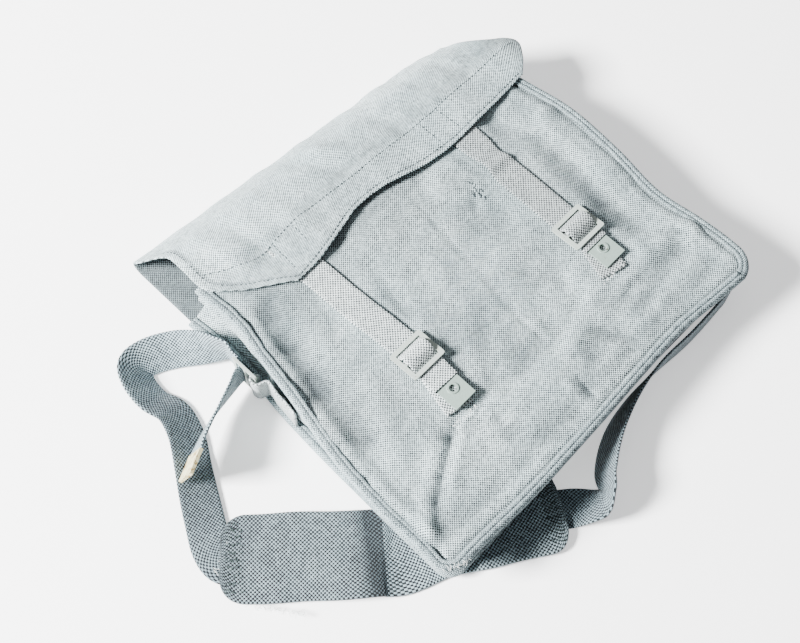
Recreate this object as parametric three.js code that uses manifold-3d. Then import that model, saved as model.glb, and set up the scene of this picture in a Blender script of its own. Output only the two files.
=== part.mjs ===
// A canvas pannier with a webbing shoulder strap, lying on its back with the flap buckled down.
// Millimetres. X runs across the bag, +Y towards its mouth, +Z up; the floor is z = 0.
import * as THREE from 'three';
import Module from 'manifold-3d';

// Bag body
const bodyWidth = 368;
const bodyHeight = 310;
const seamLevel = 46;
const bottomY = -157;
const cornerRadius = 19;
const cloth = 1.4;
const tape = 1.0;
const tapeWidth = 9;
const gap = 0.3;
const bodyCrown = 3;
const padClearance = 1.2;

// Flap
const flapDrop = 53;
const flapReach = 75;
const flapClearance = 3.1;
const earFrom = 1.02;
const earDroop = 0.20;

// Closing straps, their chapes, buckles and metal ends
const strapWidth = 25.4;
const webbing = 1.9;
const strapPlay = 1.6;
const strapUnderFlap = 38;
const buckleBar = 3.7;
const buckleCentreBar = 2.4;
const buckleThick = 2.0;
const buckleLength = 29.3;
const buckleSidePlay = 0.4;
const plateWidth = 21.6;
const plateLength = 20;
const plateThick = 1.9;
const eyeletHole = 6.3;
const eyeletRim = 11;
const eyeletRaise = 0.9;
const eyeletTaper = 0.8;

// Shoulder strap, its pad, side buckle and metal tip
const shoulderWidth = 32;
const shoulderThick = 2.2;
const padWidth = 71;
const padThick = 3.6;
const padRound = 24;
const padEndShare = 0.42;
const floorPlay = 0.1;
const sideBuckleLength = 27;
const sideBuckleBar = 3.6;
const sideTabLength = 34;
const sideBuckleAt = { y: 0.513, lift: 0.25 };
const tipLength = 22;
const tipThick = 2.8;

const halfWidth = bodyWidth / 2;
const mouthY = bottomY + bodyHeight;
const middleY = bottomY + bodyHeight / 2;
const halfCloth = cloth / 2;

// Seam outlines: how far each edge sways outward, as a share of the body width (sides) or height (bottom).
const frontLeftSway = [
  { along: 0.00, out: 0.004 }, { along: 0.10, out: -0.010 }, { along: 0.24, out: -0.011 },
  { along: 0.41, out: -0.022 }, { along: 0.61, out: -0.054 }, { along: 0.75, out: -0.073 },
  { along: 0.86, out: -0.090 }, { along: 1.00, out: -0.084 },
];
const frontRightSway = [
  { along: 0.00, out: 0.001 }, { along: 0.10, out: 0.004 }, { along: 0.19, out: 0.000 },
  { along: 0.32, out: -0.011 }, { along: 0.48, out: 0.008 }, { along: 0.66, out: 0.017 },
  { along: 0.83, out: -0.003 }, { along: 1.00, out: -0.020 },
];
const frontBottomSway = [
  { along: 0.00, out: 0.000 }, { along: 0.10, out: -0.003 }, { along: 0.25, out: 0.004 },
  { along: 0.47, out: -0.001 }, { along: 0.62, out: -0.009 }, { along: 0.76, out: -0.013 },
  { along: 0.88, out: 0.001 }, { along: 1.00, out: 0.014 },
];
const backLeftSway = [
  { along: 0.00, out: -0.020 }, { along: 0.41, out: -0.026 }, { along: 0.61, out: -0.036 },
  { along: 0.75, out: -0.048 }, { along: 0.88, out: -0.050 }, { along: 1.00, out: -0.042 },
];
const backRightSway = [
  { along: 0.00, out: -0.028 }, { along: 0.50, out: -0.022 }, { along: 1.00, out: -0.020 },
];
const backBottomSway = [
  { along: 0.00, out: -0.010 }, { along: 0.35, out: -0.010 }, { along: 0.60, out: -0.026 },
  { along: 1.00, out: -0.026 },
];

// The flap: how far its fold reaches beyond the mouth (shares of flapReach) and how its free edge sways
// (shares of flapDrop), both at places across the bag in half widths.
const flapFold = [
  { across: -1.20, reach: 1.05 }, { across: -1.00, reach: 1.00 }, { across: -0.10, reach: 0.77 },
  { across: 0.76, reach: 0.55 }, { across: 0.94, reach: 0.43 }, { across: 1.06, reach: 0.34 },
  { across: 1.20, reach: 0.27 },
];
const flapEdgeSway = [
  { across: -0.50, up: -0.066 }, { across: -0.34, up: -0.032 }, { across: -0.15, up: 0.117 },
  { across: -0.05, up: 0.183 }, { across: 0.09, up: 0.158 }, { across: 0.22, up: 0.051 },
  { across: 0.35, up: -0.057 }, { across: 0.50, up: -0.104 }, { across: 0.75, up: -0.064 },
  { across: 1.00, up: 0.000 },
];

// Folds of the front panel: a valley or ridge along a line, in shares of width and height from the centre.
const panelFolds = [
  { x0: 0.475, y0: -0.32, x1: 0.27, y1: -0.37, width: 0.030, rise: -0.15 },
  { x0: 0.27, y0: -0.37, x1: 0.06, y1: -0.40, width: 0.028, rise: -0.12 },
  { x0: -0.26, y0: -0.25, x1: -0.44, y1: -0.37, width: 0.026, rise: -0.17 },
  { x0: -0.26, y0: -0.25, x1: 0.18, y1: -0.26, width: 0.035, rise: -0.08 },
  { x0: -0.385, y0: 0.40, x1: -0.40, y1: 0.20, width: 0.036, rise: -0.20 },
  { x0: -0.40, y0: 0.20, x1: -0.43, y1: -0.08, width: 0.034, rise: -0.18 },
  { x0: 0.40, y0: 0.08, x1: 0.385, y1: -0.20, width: 0.034, rise: -0.12 },
  { x0: 0.03, y0: 0.18, x1: 0.02, y1: -0.20, width: 0.045, rise: -0.06 },
  { x0: -0.30, y0: -0.42, x1: 0.38, y1: -0.43, width: 0.045, rise: 0.07 },
];

// How far the side wall bulges out near its top and its foot, as shares of the seam level.
const gussetFolds = [
  { at: 0.00, high: 0.10, low: -0.20 }, { at: 0.04, high: 0.15, low: -0.16 },
  { at: 0.07, high: 0.12, low: 0.00 }, { at: 0.11, high: 0.12, low: 0.08 },
  { at: 0.17, high: 0.06, low: 0.03 }, { at: 0.26, high: -0.04, low: -0.08 },
  { at: 0.36, high: 0.00, low: 0.12 }, { at: 0.43, high: -0.02, low: 0.08 },
  { at: 0.52, high: -0.06, low: -0.02 }, { at: 0.66, high: -0.10, low: -0.10 },
  { at: 0.85, high: -0.08, low: -0.06 }, { at: 1.00, high: -0.12, low: -0.14 },
];

// The two closing straps: x in half widths, level in half heights from the centre, lengths in strap widths.
const closings = [
  {
    name: 'left', top: -0.420, mid: -0.402, buckle: -0.384, plate: -0.389, chape: -0.425,
    level: -0.096, plateFrom: 1.31, chapeEnd: 2.08,
  },
  {
    name: 'right', top: 0.570, mid: 0.562, buckle: 0.560, plate: 0.560, chape: 0.512,
    level: -0.200, plateFrom: 0.84, chapeEnd: 1.86,
  },
];

// The shoulder strap: x and y in half widths and half heights from the centre, lift of its lower edge.
const leftRoute = [
  { x: -1.315, y: 0.387, lift: 0.45, roll: 66 }, { x: -1.272, y: 0.413, lift: 0.42, roll: 70 },
  { x: -1.141, y: 0.477, lift: 0.33, roll: 74 }, { x: -1.010, y: 0.525, lift: 0.26, roll: 84 },
  { x: -0.952, y: 0.545, lift: 0.25, roll: 90 }, { x: -0.926, y: 0.548, lift: 0.25, roll: 90 },
  { x: -0.911, y: 0.562, lift: 0.25, roll: 90 }, { x: -0.904, y: 0.590, lift: 0.25, roll: 90 },
  { x: -0.903, y: 0.640, lift: 0.25, roll: 90 }, { x: -0.895, y: 0.695, lift: 0.24, roll: 88 },
  { x: -0.922, y: 0.760, lift: 0.16, roll: 74 }, { x: -0.965, y: 0.830, lift: 0.08, roll: 52 },
  { x: -1.050, y: 0.938, lift: 0.01, roll: 34 }, { x: -1.150, y: 1.003, lift: 0.01, roll: 32 },
  { x: -1.222, y: 1.006, lift: 0.01, roll: 36 }, { x: -1.258, y: 0.935, lift: 0.01, roll: 38 },
  { x: -1.272, y: 0.800, lift: 0.01, roll: 36 }, { x: -1.246, y: 0.680, lift: 0.01, roll: 32 },
  { x: -1.272, y: 0.552, lift: 0.01, roll: 30 }, { x: -1.359, y: 0.377, lift: 0.01, roll: 26 },
  { x: -1.484, y: 0.135, lift: 0.01, roll: 10 }, { x: -1.540, y: 0.010, lift: 0.01, roll: 0 },
  { x: -1.548, y: -0.080, lift: 0.01, roll: 0 }, { x: -1.500, y: -0.170, lift: 0.01, roll: 0 },
];
const rightRoute = [
  { x: -0.500, y: -1.010, lift: 0.01, roll: 0 }, { x: -0.420, y: -1.075, lift: 0.01, roll: 0 },
  { x: -0.345, y: -1.150, lift: 0.01, roll: 0 }, { x: -0.262, y: -1.240, lift: 0.01, roll: 36 },
  { x: -0.205, y: -1.228, lift: 0.01, roll: 74 }, { x: -0.140, y: -1.150, lift: 0.01, roll: 66 },
  { x: 0.010, y: -1.052, lift: 0.01, roll: 66 }, { x: 0.190, y: -0.998, lift: 0.01, roll: 76 },
  { x: 0.370, y: -0.984, lift: 0.02, roll: 86 }, { x: 0.590, y: -0.998, lift: 0.02, roll: 90 },
  { x: 0.800, y: -0.992, lift: 0.02, roll: 90 }, { x: 0.892, y: -0.980, lift: 0.02, roll: 90 },
  { x: 0.950, y: -0.930, lift: 0.02, roll: 90 }, { x: 0.970, y: -0.850, lift: 0.02, roll: 90 },
  { x: 0.978, y: -0.500, lift: 0.02, roll: 90 }, { x: 0.990, y: -0.050, lift: 0.04, roll: 90 },
  { x: 1.002, y: 0.200, lift: 0.14, roll: 90 }, { x: 1.000, y: 0.350, lift: 0.22, roll: 90 },
  { x: 0.996, y: 0.480, lift: 0.25, roll: 90 }, { x: 0.975, y: 0.640, lift: 0.25, roll: 90 },
];
const padRoute = [
  { x: -1.549, y: -0.058, lift: 1.44, roll: 0 }, { x: -1.446, y: -0.178, lift: 1.40, roll: 0 },
  { x: -1.266, y: -0.381, lift: 1.90, roll: 0 }, { x: -1.125, y: -0.545, lift: 2.90, roll: 5 },
  { x: -1.062, y: -0.606, lift: 1.60, roll: 4 }, { x: -1.010, y: -0.655, lift: 0.10, roll: 0 },
  { x: -0.842, y: -0.742, lift: 0.10, roll: 0 }, { x: -0.652, y: -0.890, lift: 0.60, roll: 0 },
  { x: -0.480, y: -1.026, lift: 1.30, roll: 0 }, { x: -0.372, y: -1.104, lift: 1.36, roll: 0 },
];

const { lerp, clamp, smoothstep } = THREE.MathUtils;
const vec = (x, y, z) => new THREE.Vector3(x, y, z);

// A smooth curve through a table's rows, read at any place between them.
function tableValue(rows, key, name, at) {
  const count = rows.length;
  if (at <= rows[0][key]) return rows[0][name];
  if (at >= rows[count - 1][key]) return rows[count - 1][name];
  let i = 0;
  while (at > rows[i + 1][key]) i += 1;
  const slope = (j) => {
    const a = Math.max(j - 1, 0);
    const b = Math.min(j + 1, count - 1);
    return (rows[b][name] - rows[a][name]) / (rows[b][key] - rows[a][key]);
  };
  const span = rows[i + 1][key] - rows[i][key];
  const t = (at - rows[i][key]) / span;
  const t2 = t * t;
  const t3 = t2 * t;
  return (2 * t3 - 3 * t2 + 1) * rows[i][name] + (t3 - 2 * t2 + t) * span * slope(i)
    + (3 * t2 - 2 * t3) * rows[i + 1][name] + (t3 - t2) * span * slope(i + 1);
}

// The U-shaped seam line: down the left side, round the corners, along the bottom and up the right side.
function seamOutline(leftRows, rightRows, bottomRows, topY) {
  const sideSteps = 12;
  const cornerSteps = 3;
  const bottomSteps = 14;
  const sideStart = bottomY + cornerRadius;
  const along = (y) => (y - bottomY) / bodyHeight;
  const leftX = (y) => -halfWidth - tableValue(leftRows, 'along', 'out', along(y)) * bodyWidth;
  const rightX = (y) => halfWidth + tableValue(rightRows, 'along', 'out', along(y)) * bodyWidth;
  const lowY = (x) => bottomY
    - tableValue(bottomRows, 'along', 'out', (x + halfWidth) / bodyWidth) * bodyHeight;
  const left = [];
  const bottom = [];
  const right = [];
  for (let i = 0; i <= sideSteps; i += 1) {
    const y = lerp(topY, sideStart, i / sideSteps);
    left.push([leftX(y), y]);
  }
  const corner = (side, angle) => {
    const cx = side < 0 ? leftX(sideStart) + cornerRadius : rightX(sideStart) - cornerRadius;
    const cy = lowY(cx) + cornerRadius;
    const drop = (sideStart - cy) * Math.cos(angle);
    return [cx + side * cornerRadius * Math.cos(angle), cy + drop - cornerRadius * Math.sin(angle)];
  };
  for (let i = 1; i <= cornerSteps; i += 1) {
    left.push(corner(-1, (i / cornerSteps) * Math.PI / 4));
  }
  bottom.push(left[left.length - 1]);
  for (let i = 1; i <= cornerSteps; i += 1) {
    bottom.push(corner(-1, (1 + i / cornerSteps) * Math.PI / 4));
  }
  const from = bottom[bottom.length - 1][0];
  const to = rightX(sideStart) - cornerRadius;
  for (let i = 1; i < bottomSteps; i += 1) {
    const x = lerp(from, to, i / bottomSteps);
    bottom.push([x, lowY(x)]);
  }
  for (let i = 0; i <= cornerSteps; i += 1) {
    bottom.push(corner(1, (2 - i / cornerSteps) * Math.PI / 4));
  }
  right.push(bottom[bottom.length - 1]);
  for (let i = 1; i <= cornerSteps; i += 1) {
    right.push(corner(1, (1 - i / cornerSteps) * Math.PI / 4));
  }
  for (let i = 1; i <= sideSteps; i += 1) {
    const y = lerp(sideStart, topY, i / sideSteps);
    right.push([rightX(y), y]);
  }
  const points = [...left, ...bottom.slice(1), ...right.slice(1)];
  const normals = points.map((point, i) => {
    if (i === 0) return [-1, 0];
    if (i === points.length - 1) return [1, 0];
    const [a, b] = [points[i - 1], points[i + 1]];
    const length = Math.hypot(b[0] - a[0], b[1] - a[1]);
    return [(b[1] - a[1]) / length, -(b[0] - a[0]) / length];
  });
  const inset = (i, depth) => [points[i][0] - normals[i][0] * depth, points[i][1] - normals[i][1] * depth];
  const edgeDistance = (x, y) => {
    const side = Math.min(x - leftX(y), rightX(y) - x);
    const low = y - lowY(x);
    const inCorner = side < cornerRadius && low < cornerRadius;
    if (!inCorner) return Math.min(side, low);
    return cornerRadius - Math.hypot(cornerRadius - side, cornerRadius - low);
  };
  const counts = { leftCount: left.length, bottomCount: bottom.length, count: points.length };
  return { points, inset, edgeDistance, leftX, rightX, ...counts };
}

const frontSeam = seamOutline(frontLeftSway, frontRightSway, frontBottomSway, mouthY);
const backSeam = seamOutline(backLeftSway, backRightSway, backBottomSway, mouthY);

// A closed body from rings of points: each ring is one section, joined to the next, with capped ends.
function ringBody(rings) {
  const size = rings[0].length;
  const positions = [];
  rings.forEach((ring) => ring.forEach((p) => positions.push(p.x, p.y, p.z)));
  const index = [];
  for (let r = 0; r + 1 < rings.length; r += 1) {
    for (let i = 0; i < size; i += 1) {
      const a = r * size + i;
      const b = r * size + ((i + 1) % size);
      index.push(a, b, b + size, a, b + size, a + size);
    }
  }
  return { positions, index };
}

function closedGeometry(positions, index) {
  const geometry = new THREE.BufferGeometry();
  geometry.setAttribute('position', new THREE.Float32BufferAttribute(positions, 3));
  let volume = 0;
  for (let i = 0; i < index.length; i += 3) {
    const [a, b, c] = [index[i], index[i + 1], index[i + 2]].map((k) => (
      vec(positions[3 * k], positions[3 * k + 1], positions[3 * k + 2])));
    volume += a.dot(b.cross(c));
  }
  const turned = [];
  for (let i = 0; i < index.length; i += 3) turned.push(index[i], index[i + 2], index[i + 1]);
  geometry.setIndex(volume > 0 ? index : turned);
  geometry.computeVertexNormals();
  return geometry;
}

// A sheet of even thickness from a grid of middle points; its rim is one row of quads.
function sheetGeometry(grid, thickness) {
  const rows = grid.length;
  const columns = grid[0].length;
  const normalAt = (r, c) => {
    const across = grid[r][Math.min(c + 1, columns - 1)].clone().sub(grid[r][Math.max(c - 1, 0)]);
    const along = grid[Math.min(r + 1, rows - 1)][c].clone().sub(grid[Math.max(r - 1, 0)][c]);
    return across.cross(along).normalize();
  };
  const positions = [];
  for (const side of [0.5, -0.5]) {
    for (let r = 0; r < rows; r += 1) {
      for (let c = 0; c < columns; c += 1) {
        const p = grid[r][c].clone().addScaledVector(normalAt(r, c), side * thickness);
        positions.push(p.x, p.y, p.z);
      }
    }
  }
  const index = [];
  const under = rows * columns;
  const at = (r, c) => r * columns + c;
  for (let r = 0; r + 1 < rows; r += 1) {
    for (let c = 0; c + 1 < columns; c += 1) {
      const [a, b, d, e] = [at(r, c), at(r, c + 1), at(r + 1, c + 1), at(r + 1, c)];
      index.push(a, b, d, a, d, e);
      index.push(under + a, under + d, under + b, under + a, under + e, under + d);
    }
  }
  const rim = [];
  for (let c = 0; c < columns - 1; c += 1) rim.push(at(0, c));
  for (let r = 0; r < rows - 1; r += 1) rim.push(at(r, columns - 1));
  for (let c = columns - 1; c > 0; c -= 1) rim.push(at(rows - 1, c));
  for (let r = rows - 1; r > 0; r -= 1) rim.push(at(r, 0));
  rim.forEach((a, i) => {
    const b = rim[(i + 1) % rim.length];
    index.push(b, a, under + a, b, under + a, under + b);
  });
  return closedGeometry(positions, index);
}

// A ribbon of webbing along a centre curve. Roll 0 lies flat, 90 stands on its edge.
function ribbonSections(rows, width, thickness, steps) {
  const centres = rows.map((row) => vec(row.x, row.y, row.z));
  const centre = new THREE.CatmullRomCurve3(centres, false, 'centripetal');
  const last = rows.length - 1;
  const sections = [];
  for (let i = 0; i <= steps; i += 1) {
    const t = i / steps;
    const at = t * last;
    const table = rows.map((row, k) => ({ k, roll: row.roll, wide: row.wide ?? 1 }));
    const roll = THREE.MathUtils.degToRad(tableValue(table, 'k', 'roll', at));
    const tangent = centre.getTangent(t);
    const level = vec(tangent.y, -tangent.x, 0).normalize();
    const raise = level.clone().cross(tangent).normalize();
    const across = level.multiplyScalar(Math.cos(roll)).addScaledVector(raise, Math.sin(roll));
    const out = across.clone().cross(tangent).normalize();
    const half = (width / 2) * tableValue(table, 'k', 'wide', at);
    const corners = [[1, 1], [-1, 1], [-1, -1], [1, -1]];
    const point = centre.getPoint(t);
    sections.push(corners.map(([a, b]) => (
      point.clone().addScaledVector(across, a * half).addScaledVector(out, b * thickness / 2))));
  }
  return sections;
}

function sectionBody(sections) {
  const { positions, index } = ringBody(sections);
  const size = sections[0].length;
  const end = (sections.length - 1) * size;
  for (let i = 1; i + 1 < size; i += 1) {
    index.push(0, i + 1, i);
    index.push(end, end + i, end + i + 1);
  }
  return closedGeometry(positions, index);
}

const ribbon = (rows, width, thickness, steps) => (
  sectionBody(ribbonSections(rows, width, thickness, steps)));

// Materials, from the photographed cloth and worn metal
const canvas = { color: 0xaab6b8, roughness: 0.95, metalness: 0 };
const edging = { color: 0xc6cdcc, roughness: 0.95, metalness: 0 };
const paleWebbing = { color: 0xbfc2c0, roughness: 0.95, metalness: 0 };
const darkWebbing = { color: 0x747f85, roughness: 0.95, metalness: 0 };
const paintedMetal = { color: 0xa9b0ae, roughness: 0.6, metalness: 0.5 };
const agedBrass = { color: 0x86917f, roughness: 0.55, metalness: 0.7 };

const group = new THREE.Group();
function add(name, geometry, finish) {
  const mesh = new THREE.Mesh(geometry, new THREE.MeshStandardMaterial(finish));
  mesh.name = name;
  group.add(mesh);
}

// Levels of the two seams. The back lifts where its left corner lies on the pad.
const seamPlay = 0.55;
const seamInside = 2 * cloth + gap + 2 * seamPlay;
const seamThick = seamInside + 2 * tape;
const padLift = padThick + shoulderThick + padClearance;
function cornerLift(x, y) {
  const towardCorner = (x / halfWidth) * 0.68 + ((y - middleY) / (bodyHeight / 2)) * 0.80;
  return padLift * smoothstep(-towardCorner, 0.30, 0.92);
}
const backSeamLevel = (x, y) => seamThick / 2 + cornerLift(x, y);
const frontSway = [
  { along: 0.00, up: -0.02 }, { along: 0.20, up: 0.00 }, { along: 0.45, up: 0.02 },
  { along: 0.70, up: -0.03 }, { along: 1.00, up: 0.00 },
];
const frontSeamLevel = (x) => seamLevel
  * (1 + tableValue(frontSway, 'along', 'up', (x + halfWidth) / bodyWidth));

// Height of the front panel's middle surface: seam level, a crown, and the folds of the table.
function panelRelief(x, y) {
  const inside = frontSeam.edgeDistance(x, y) - tapeWidth;
  let rise = bodyCrown * smoothstep(inside, 2 * cloth, 0.3 * halfWidth);
  panelFolds.forEach((fold) => {
    const ax = fold.x0 * bodyWidth;
    const ay = fold.y0 * bodyHeight;
    const bx = fold.x1 * bodyWidth - ax;
    const by = fold.y1 * bodyHeight - ay;
    const px = x - ax;
    const py = y - middleY - ay;
    const t = clamp((px * bx + py * by) / (bx * bx + by * by), 0, 1);
    const away = Math.hypot(px - t * bx, py - t * by) / (fold.width * bodyWidth);
    rise += fold.rise * seamLevel * Math.exp(-away * away);
  });
  return rise * smoothstep(inside, 5 * cloth, 0.17 * halfWidth);
}
const panelMiddle = (x, y) => frontSeamLevel(x) + gap / 2 + halfCloth + panelRelief(x, y);

// A panel's grid: a patch stretched between its left, bottom, right and mouth edges.
function panelGrid(seam, depth, rows, columns, heightAt) {
  const pick = (from, to, t) => {
    const at = lerp(from, to, t);
    const i = Math.min(Math.floor(at), to - 1, seam.count - 2);
    const [a, b] = [seam.inset(i, depth), seam.inset(i + 1, depth)];
    return [lerp(a[0], b[0], at - i), lerp(a[1], b[1], at - i)];
  };
  const lowLeft = seam.leftCount - 1;
  const lowRight = seam.leftCount + seam.bottomCount - 2;
  const last = seam.count - 1;
  const left = (v) => pick(0, lowLeft, 1 - v);
  const bottom = (u) => pick(lowLeft, lowRight, u);
  const right = (v) => pick(lowRight, last, v);
  const [mouthLeft, mouthRight] = [left(1), right(1)];
  const grid = [];
  for (let r = 0; r <= rows; r += 1) {
    const v = r / rows;
    const line = [];
    for (let c = 0; c <= columns; c += 1) {
      const u = c / columns;
      const blend = (k) => {
        const top = lerp(mouthLeft[k], mouthRight[k], u);
        const sides = lerp(left(v)[k], right(v)[k], u);
        const ends = lerp(bottom(u)[k], top, v);
        const corners = lerp(lerp(bottom(0)[k], bottom(1)[k], u), top, v);
        return sides + ends - corners;
      };
      const [x, y] = [blend(0), blend(1)];
      line.push(vec(x, y, heightAt(x, y)));
    }
    grid.push(line);
  }
  return grid;
}

function addPanels() {
  const depth = tape + 3 * gap;
  const front = panelGrid(frontSeam, depth, 22, 24, panelMiddle);
  add('front_panel', sheetGeometry(front, cloth), canvas);
  const backMiddle = (x, y) => {
    const raised = backSeamLevel(x, y) - gap / 2 - halfCloth;
    const inner = smoothstep(backSeam.edgeDistance(x, y) - tapeWidth, cloth, 0.2 * halfWidth);
    return lerp(raised, halfCloth + cornerLift(x, y), inner);
  };
  const back = panelGrid(backSeam, depth, 14, 17, backMiddle);
  add('back_panel', sheetGeometry(back, cloth), canvas);
}

// The side and bottom wall: one strip, with a flange at each seam, that goes round the two panels.
function gussetGrid() {
  const grid = [];
  for (let i = 0; i < frontSeam.count; i += 1) {
    const at = i / (frontSeam.count - 1);
    const high = tableValue(gussetFolds, 'at', 'high', at) * seamLevel;
    const low = tableValue(gussetFolds, 'at', 'low', at) * seamLevel;
    const flange = tape + 2 * gap;
    const turn = tapeWidth + 3 * gap + halfCloth;
    const bend = 0.6 * cloth;
    const at3 = (share, depth, raise) => {
      const a = frontSeam.inset(i, depth);
      const b = backSeam.inset(i, depth);
      const head = frontSeamLevel(...a) - gap / 2 - halfCloth;
      const foot = backSeamLevel(...b) + gap / 2 + halfCloth;
      return vec(lerp(b[0], a[0], share), lerp(b[1], a[1], share), lerp(foot, head, share) + raise);
    };
    grid.push([
      at3(1, flange, 0),
      at3(1, turn - bend / 2, 0),
      at3(1, turn + bend, -2 * bend),
      at3(0.70, turn - high, 0),
      at3(0.48, turn - (high + low) / 2, 0),
      at3(0.26, turn - low, 0),
      at3(0, turn + bend / 2, 2 * bend),
      at3(0, turn - bend / 2, 0),
      at3(0, flange, 0),
    ]);
  }
  return grid;
}
const gusset = gussetGrid();

// How far out the left side wall reaches near y, where the side tab lies on it.
function leftWallReach(y) {
  const near = gusset.filter((row) => row[4].x < 0 && Math.abs(row[4].y - y) < 0.09 * bodyHeight);
  const outward = near.flatMap((row) => row.slice(2, 7).map((p) => p.x));
  return Math.min(...outward) - halfCloth - gap;
}

// Tape folded over each seam: a U that holds the panel's edge and the gusset's flange.
function addBinding(name, seam, levelAt) {
  const sections = [];
  const inner = seamInside / 2;
  const outer = seamThick / 2;
  for (let i = 0; i < seam.count; i += 1) {
    const corner = (depth, up) => {
      const [x, y] = seam.inset(i, depth);
      return vec(x, y, levelAt(x, y) + up);
    };
    sections.push([
      corner(tapeWidth, outer), corner(0, outer), corner(0, -outer), corner(tapeWidth, -outer),
      corner(tapeWidth, -inner), corner(tape, -inner), corner(tape, inner), corner(tapeWidth, inner),
    ]);
  }
  add(name, channelBody(sections), edging);
}

// End caps of a U section: the upper leg, the web and the lower leg between its eight corners.
function channelBody(sections) {
  const { positions, index } = ringBody(sections);
  const end = (sections.length - 1) * sections[0].length;
  const caps = [[0, 1, 6, 7], [1, 2, 5, 6], [2, 3, 4, 5]];
  caps.forEach((cap) => {
    for (let i = 1; i + 1 < cap.length; i += 1) {
      index.push(cap[0], cap[i + 1], cap[i]);
      index.push(end + cap[0], end + cap[i], end + cap[i + 1]);
    }
  });
  return closedGeometry(positions, index);
}

// The flap runs on from the back panel along the floor, folds over the mouth and lies on the front.
const flapEnd = mouthY - flapDrop;
const flapFoldY = (x) => mouthY
  + flapReach * tableValue(flapFold, 'across', 'reach', x / halfWidth);
const flapRest = (x, y) => panelMiddle(clamp(x, -0.86 * halfWidth, 0.93 * halfWidth), y)
  + flapClearance + webbing;
// The flap's sections from the mouth along the floor, up the fold and down the front, with both side edges
// in half widths.
const flapSections = [
  { reach: 'lap', lean: 0.00, share: 0.00, left: -0.89, right: 0.97 },
  { reach: 'lap', lean: 0.45, share: 0.00, left: -0.89, right: 0.97 },
  { reach: 'fold', lean: -0.20, share: 0.00, left: -0.89, right: 0.97 },
  { reach: 'fold', lean: -0.06, share: 0.03, left: -0.89, right: 0.97 },
  { reach: 'fold', lean: 0.00, share: 0.14, left: -0.89, right: 0.96 },
  { reach: 'fold', lean: -0.04, share: 0.31, left: -0.89, right: 0.94 },
  { reach: 'fold', lean: -0.16, share: 0.52, left: -0.89, right: 0.91 },
  { reach: 'fold', lean: -0.38, share: 0.75, left: -0.80, right: 0.89 },
  { reach: 'fold', lean: -0.70, share: 0.94, left: -0.80, right: 0.93 },
  { reach: 'front', lean: 0.10, share: 1.00, left: -0.80, right: 1.02 },
  { reach: 'front', lean: 0.40, share: 1.00, left: -0.725, right: 1.14 },
  { reach: 'front', lean: 0.72, share: 1.00, left: -0.60, right: 1.09 },
  { reach: 'front', lean: 1.00, share: 1.00, left: -0.49, right: 1.00 },
];
const earReach = Math.max(...flapSections.map((row) => row.right)) - earFrom;

function flapPoint(x, row) {
  const fold = flapFoldY(x);
  const reach = fold - mouthY;
  let y = lerp(mouthY + gap, fold, row.lean);
  if (row.reach === 'fold') y = fold + row.lean * reach;
  if (row.reach === 'front') {
    y = lerp(mouthY, flapEnd, row.lean)
      + row.lean * flapDrop * tableValue(flapEdgeSway, 'across', 'up', x / halfWidth);
  }
  const restY = Math.min(y, mouthY - 0.03 * bodyHeight);
  return vec(x, y, lerp(halfCloth, flapRest(x, restY), row.share));
}

function flapGrid(rows, columns) {
  const last = flapSections.length - 1;
  const sides = flapSections.map((row, k) => ({ k, left: row.left, right: row.right }));
  const grid = [];
  for (let r = 0; r <= rows; r += 1) {
    const t = (r / rows) * last;
    const left = tableValue(sides, 'k', 'left', t) * halfWidth;
    const right = tableValue(sides, 'k', 'right', t) * halfWidth;
    const line = [];
    for (let c = 0; c <= columns; c += 1) {
      const x = lerp(left, right, c / columns);
      const points = flapSections.map((row, k) => {
        const p = flapPoint(x, row);
        return { k, y: p.y, z: p.z };
      });
      const y = tableValue(points, 'k', 'y', t);
      let z = Math.max(tableValue(points, 'k', 'z', t), halfCloth);
      const beyond = Math.max(x / halfWidth - earFrom, 0) / earReach;
      z -= earDroop * seamLevel * beyond * beyond * smoothstep(z / seamLevel, 0.5, 1);
      line.push(vec(x, y, z));
    }
    grid.push(line);
  }
  return grid;
}

function addFlap() {
  add('flap', sheetGeometry(flapGrid(28, 13), cloth), canvas);
}

// Top of the front panel under a strap: the highest place across the strap's width.
function panelTop(x, y, width) {
  const across = [-0.5, -0.25, 0, 0.25, 0.5];
  return Math.max(...across.map((k) => panelMiddle(x + k * width, y))) + halfCloth;
}

// A rectangular frame with a centre bar, flat in X and Y.
function frameGeometry(width, length, bar, centreBar, thick) {
  const rectangle = (shape, x, y, w, h, r) => {
    shape.moveTo(x + r, y);
    shape.lineTo(x + w - r, y);
    shape.absarc(x + w - r, y + r, r, -Math.PI / 2, 0);
    shape.lineTo(x + w, y + h - r);
    shape.absarc(x + w - r, y + h - r, r, 0, Math.PI / 2);
    shape.lineTo(x + r, y + h);
    shape.absarc(x + r, y + h - r, r, Math.PI / 2, Math.PI);
    shape.lineTo(x, y + r);
    shape.absarc(x + r, y + r, r, Math.PI, 1.5 * Math.PI);
    return shape;
  };
  const round = bar / 2;
  const outline = rectangle(new THREE.Shape(), -width / 2, -length / 2, width, length, round);
  const window = length / 2 - bar - centreBar / 2;
  [centreBar / 2, -centreBar / 2 - window].forEach((y) => {
    outline.holes.push(rectangle(new THREE.Path(), bar - width / 2, y, width - 2 * bar, window, round / 3));
  });
  const geometry = new THREE.ExtrudeGeometry(outline, {
    depth: thick, bevelEnabled: false, curveSegments: 2,
  });
  return geometry.translate(0, 0, -thick / 2);
}

// Solids for the cut parts
const wasm = await Module();
wasm.setup();

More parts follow.
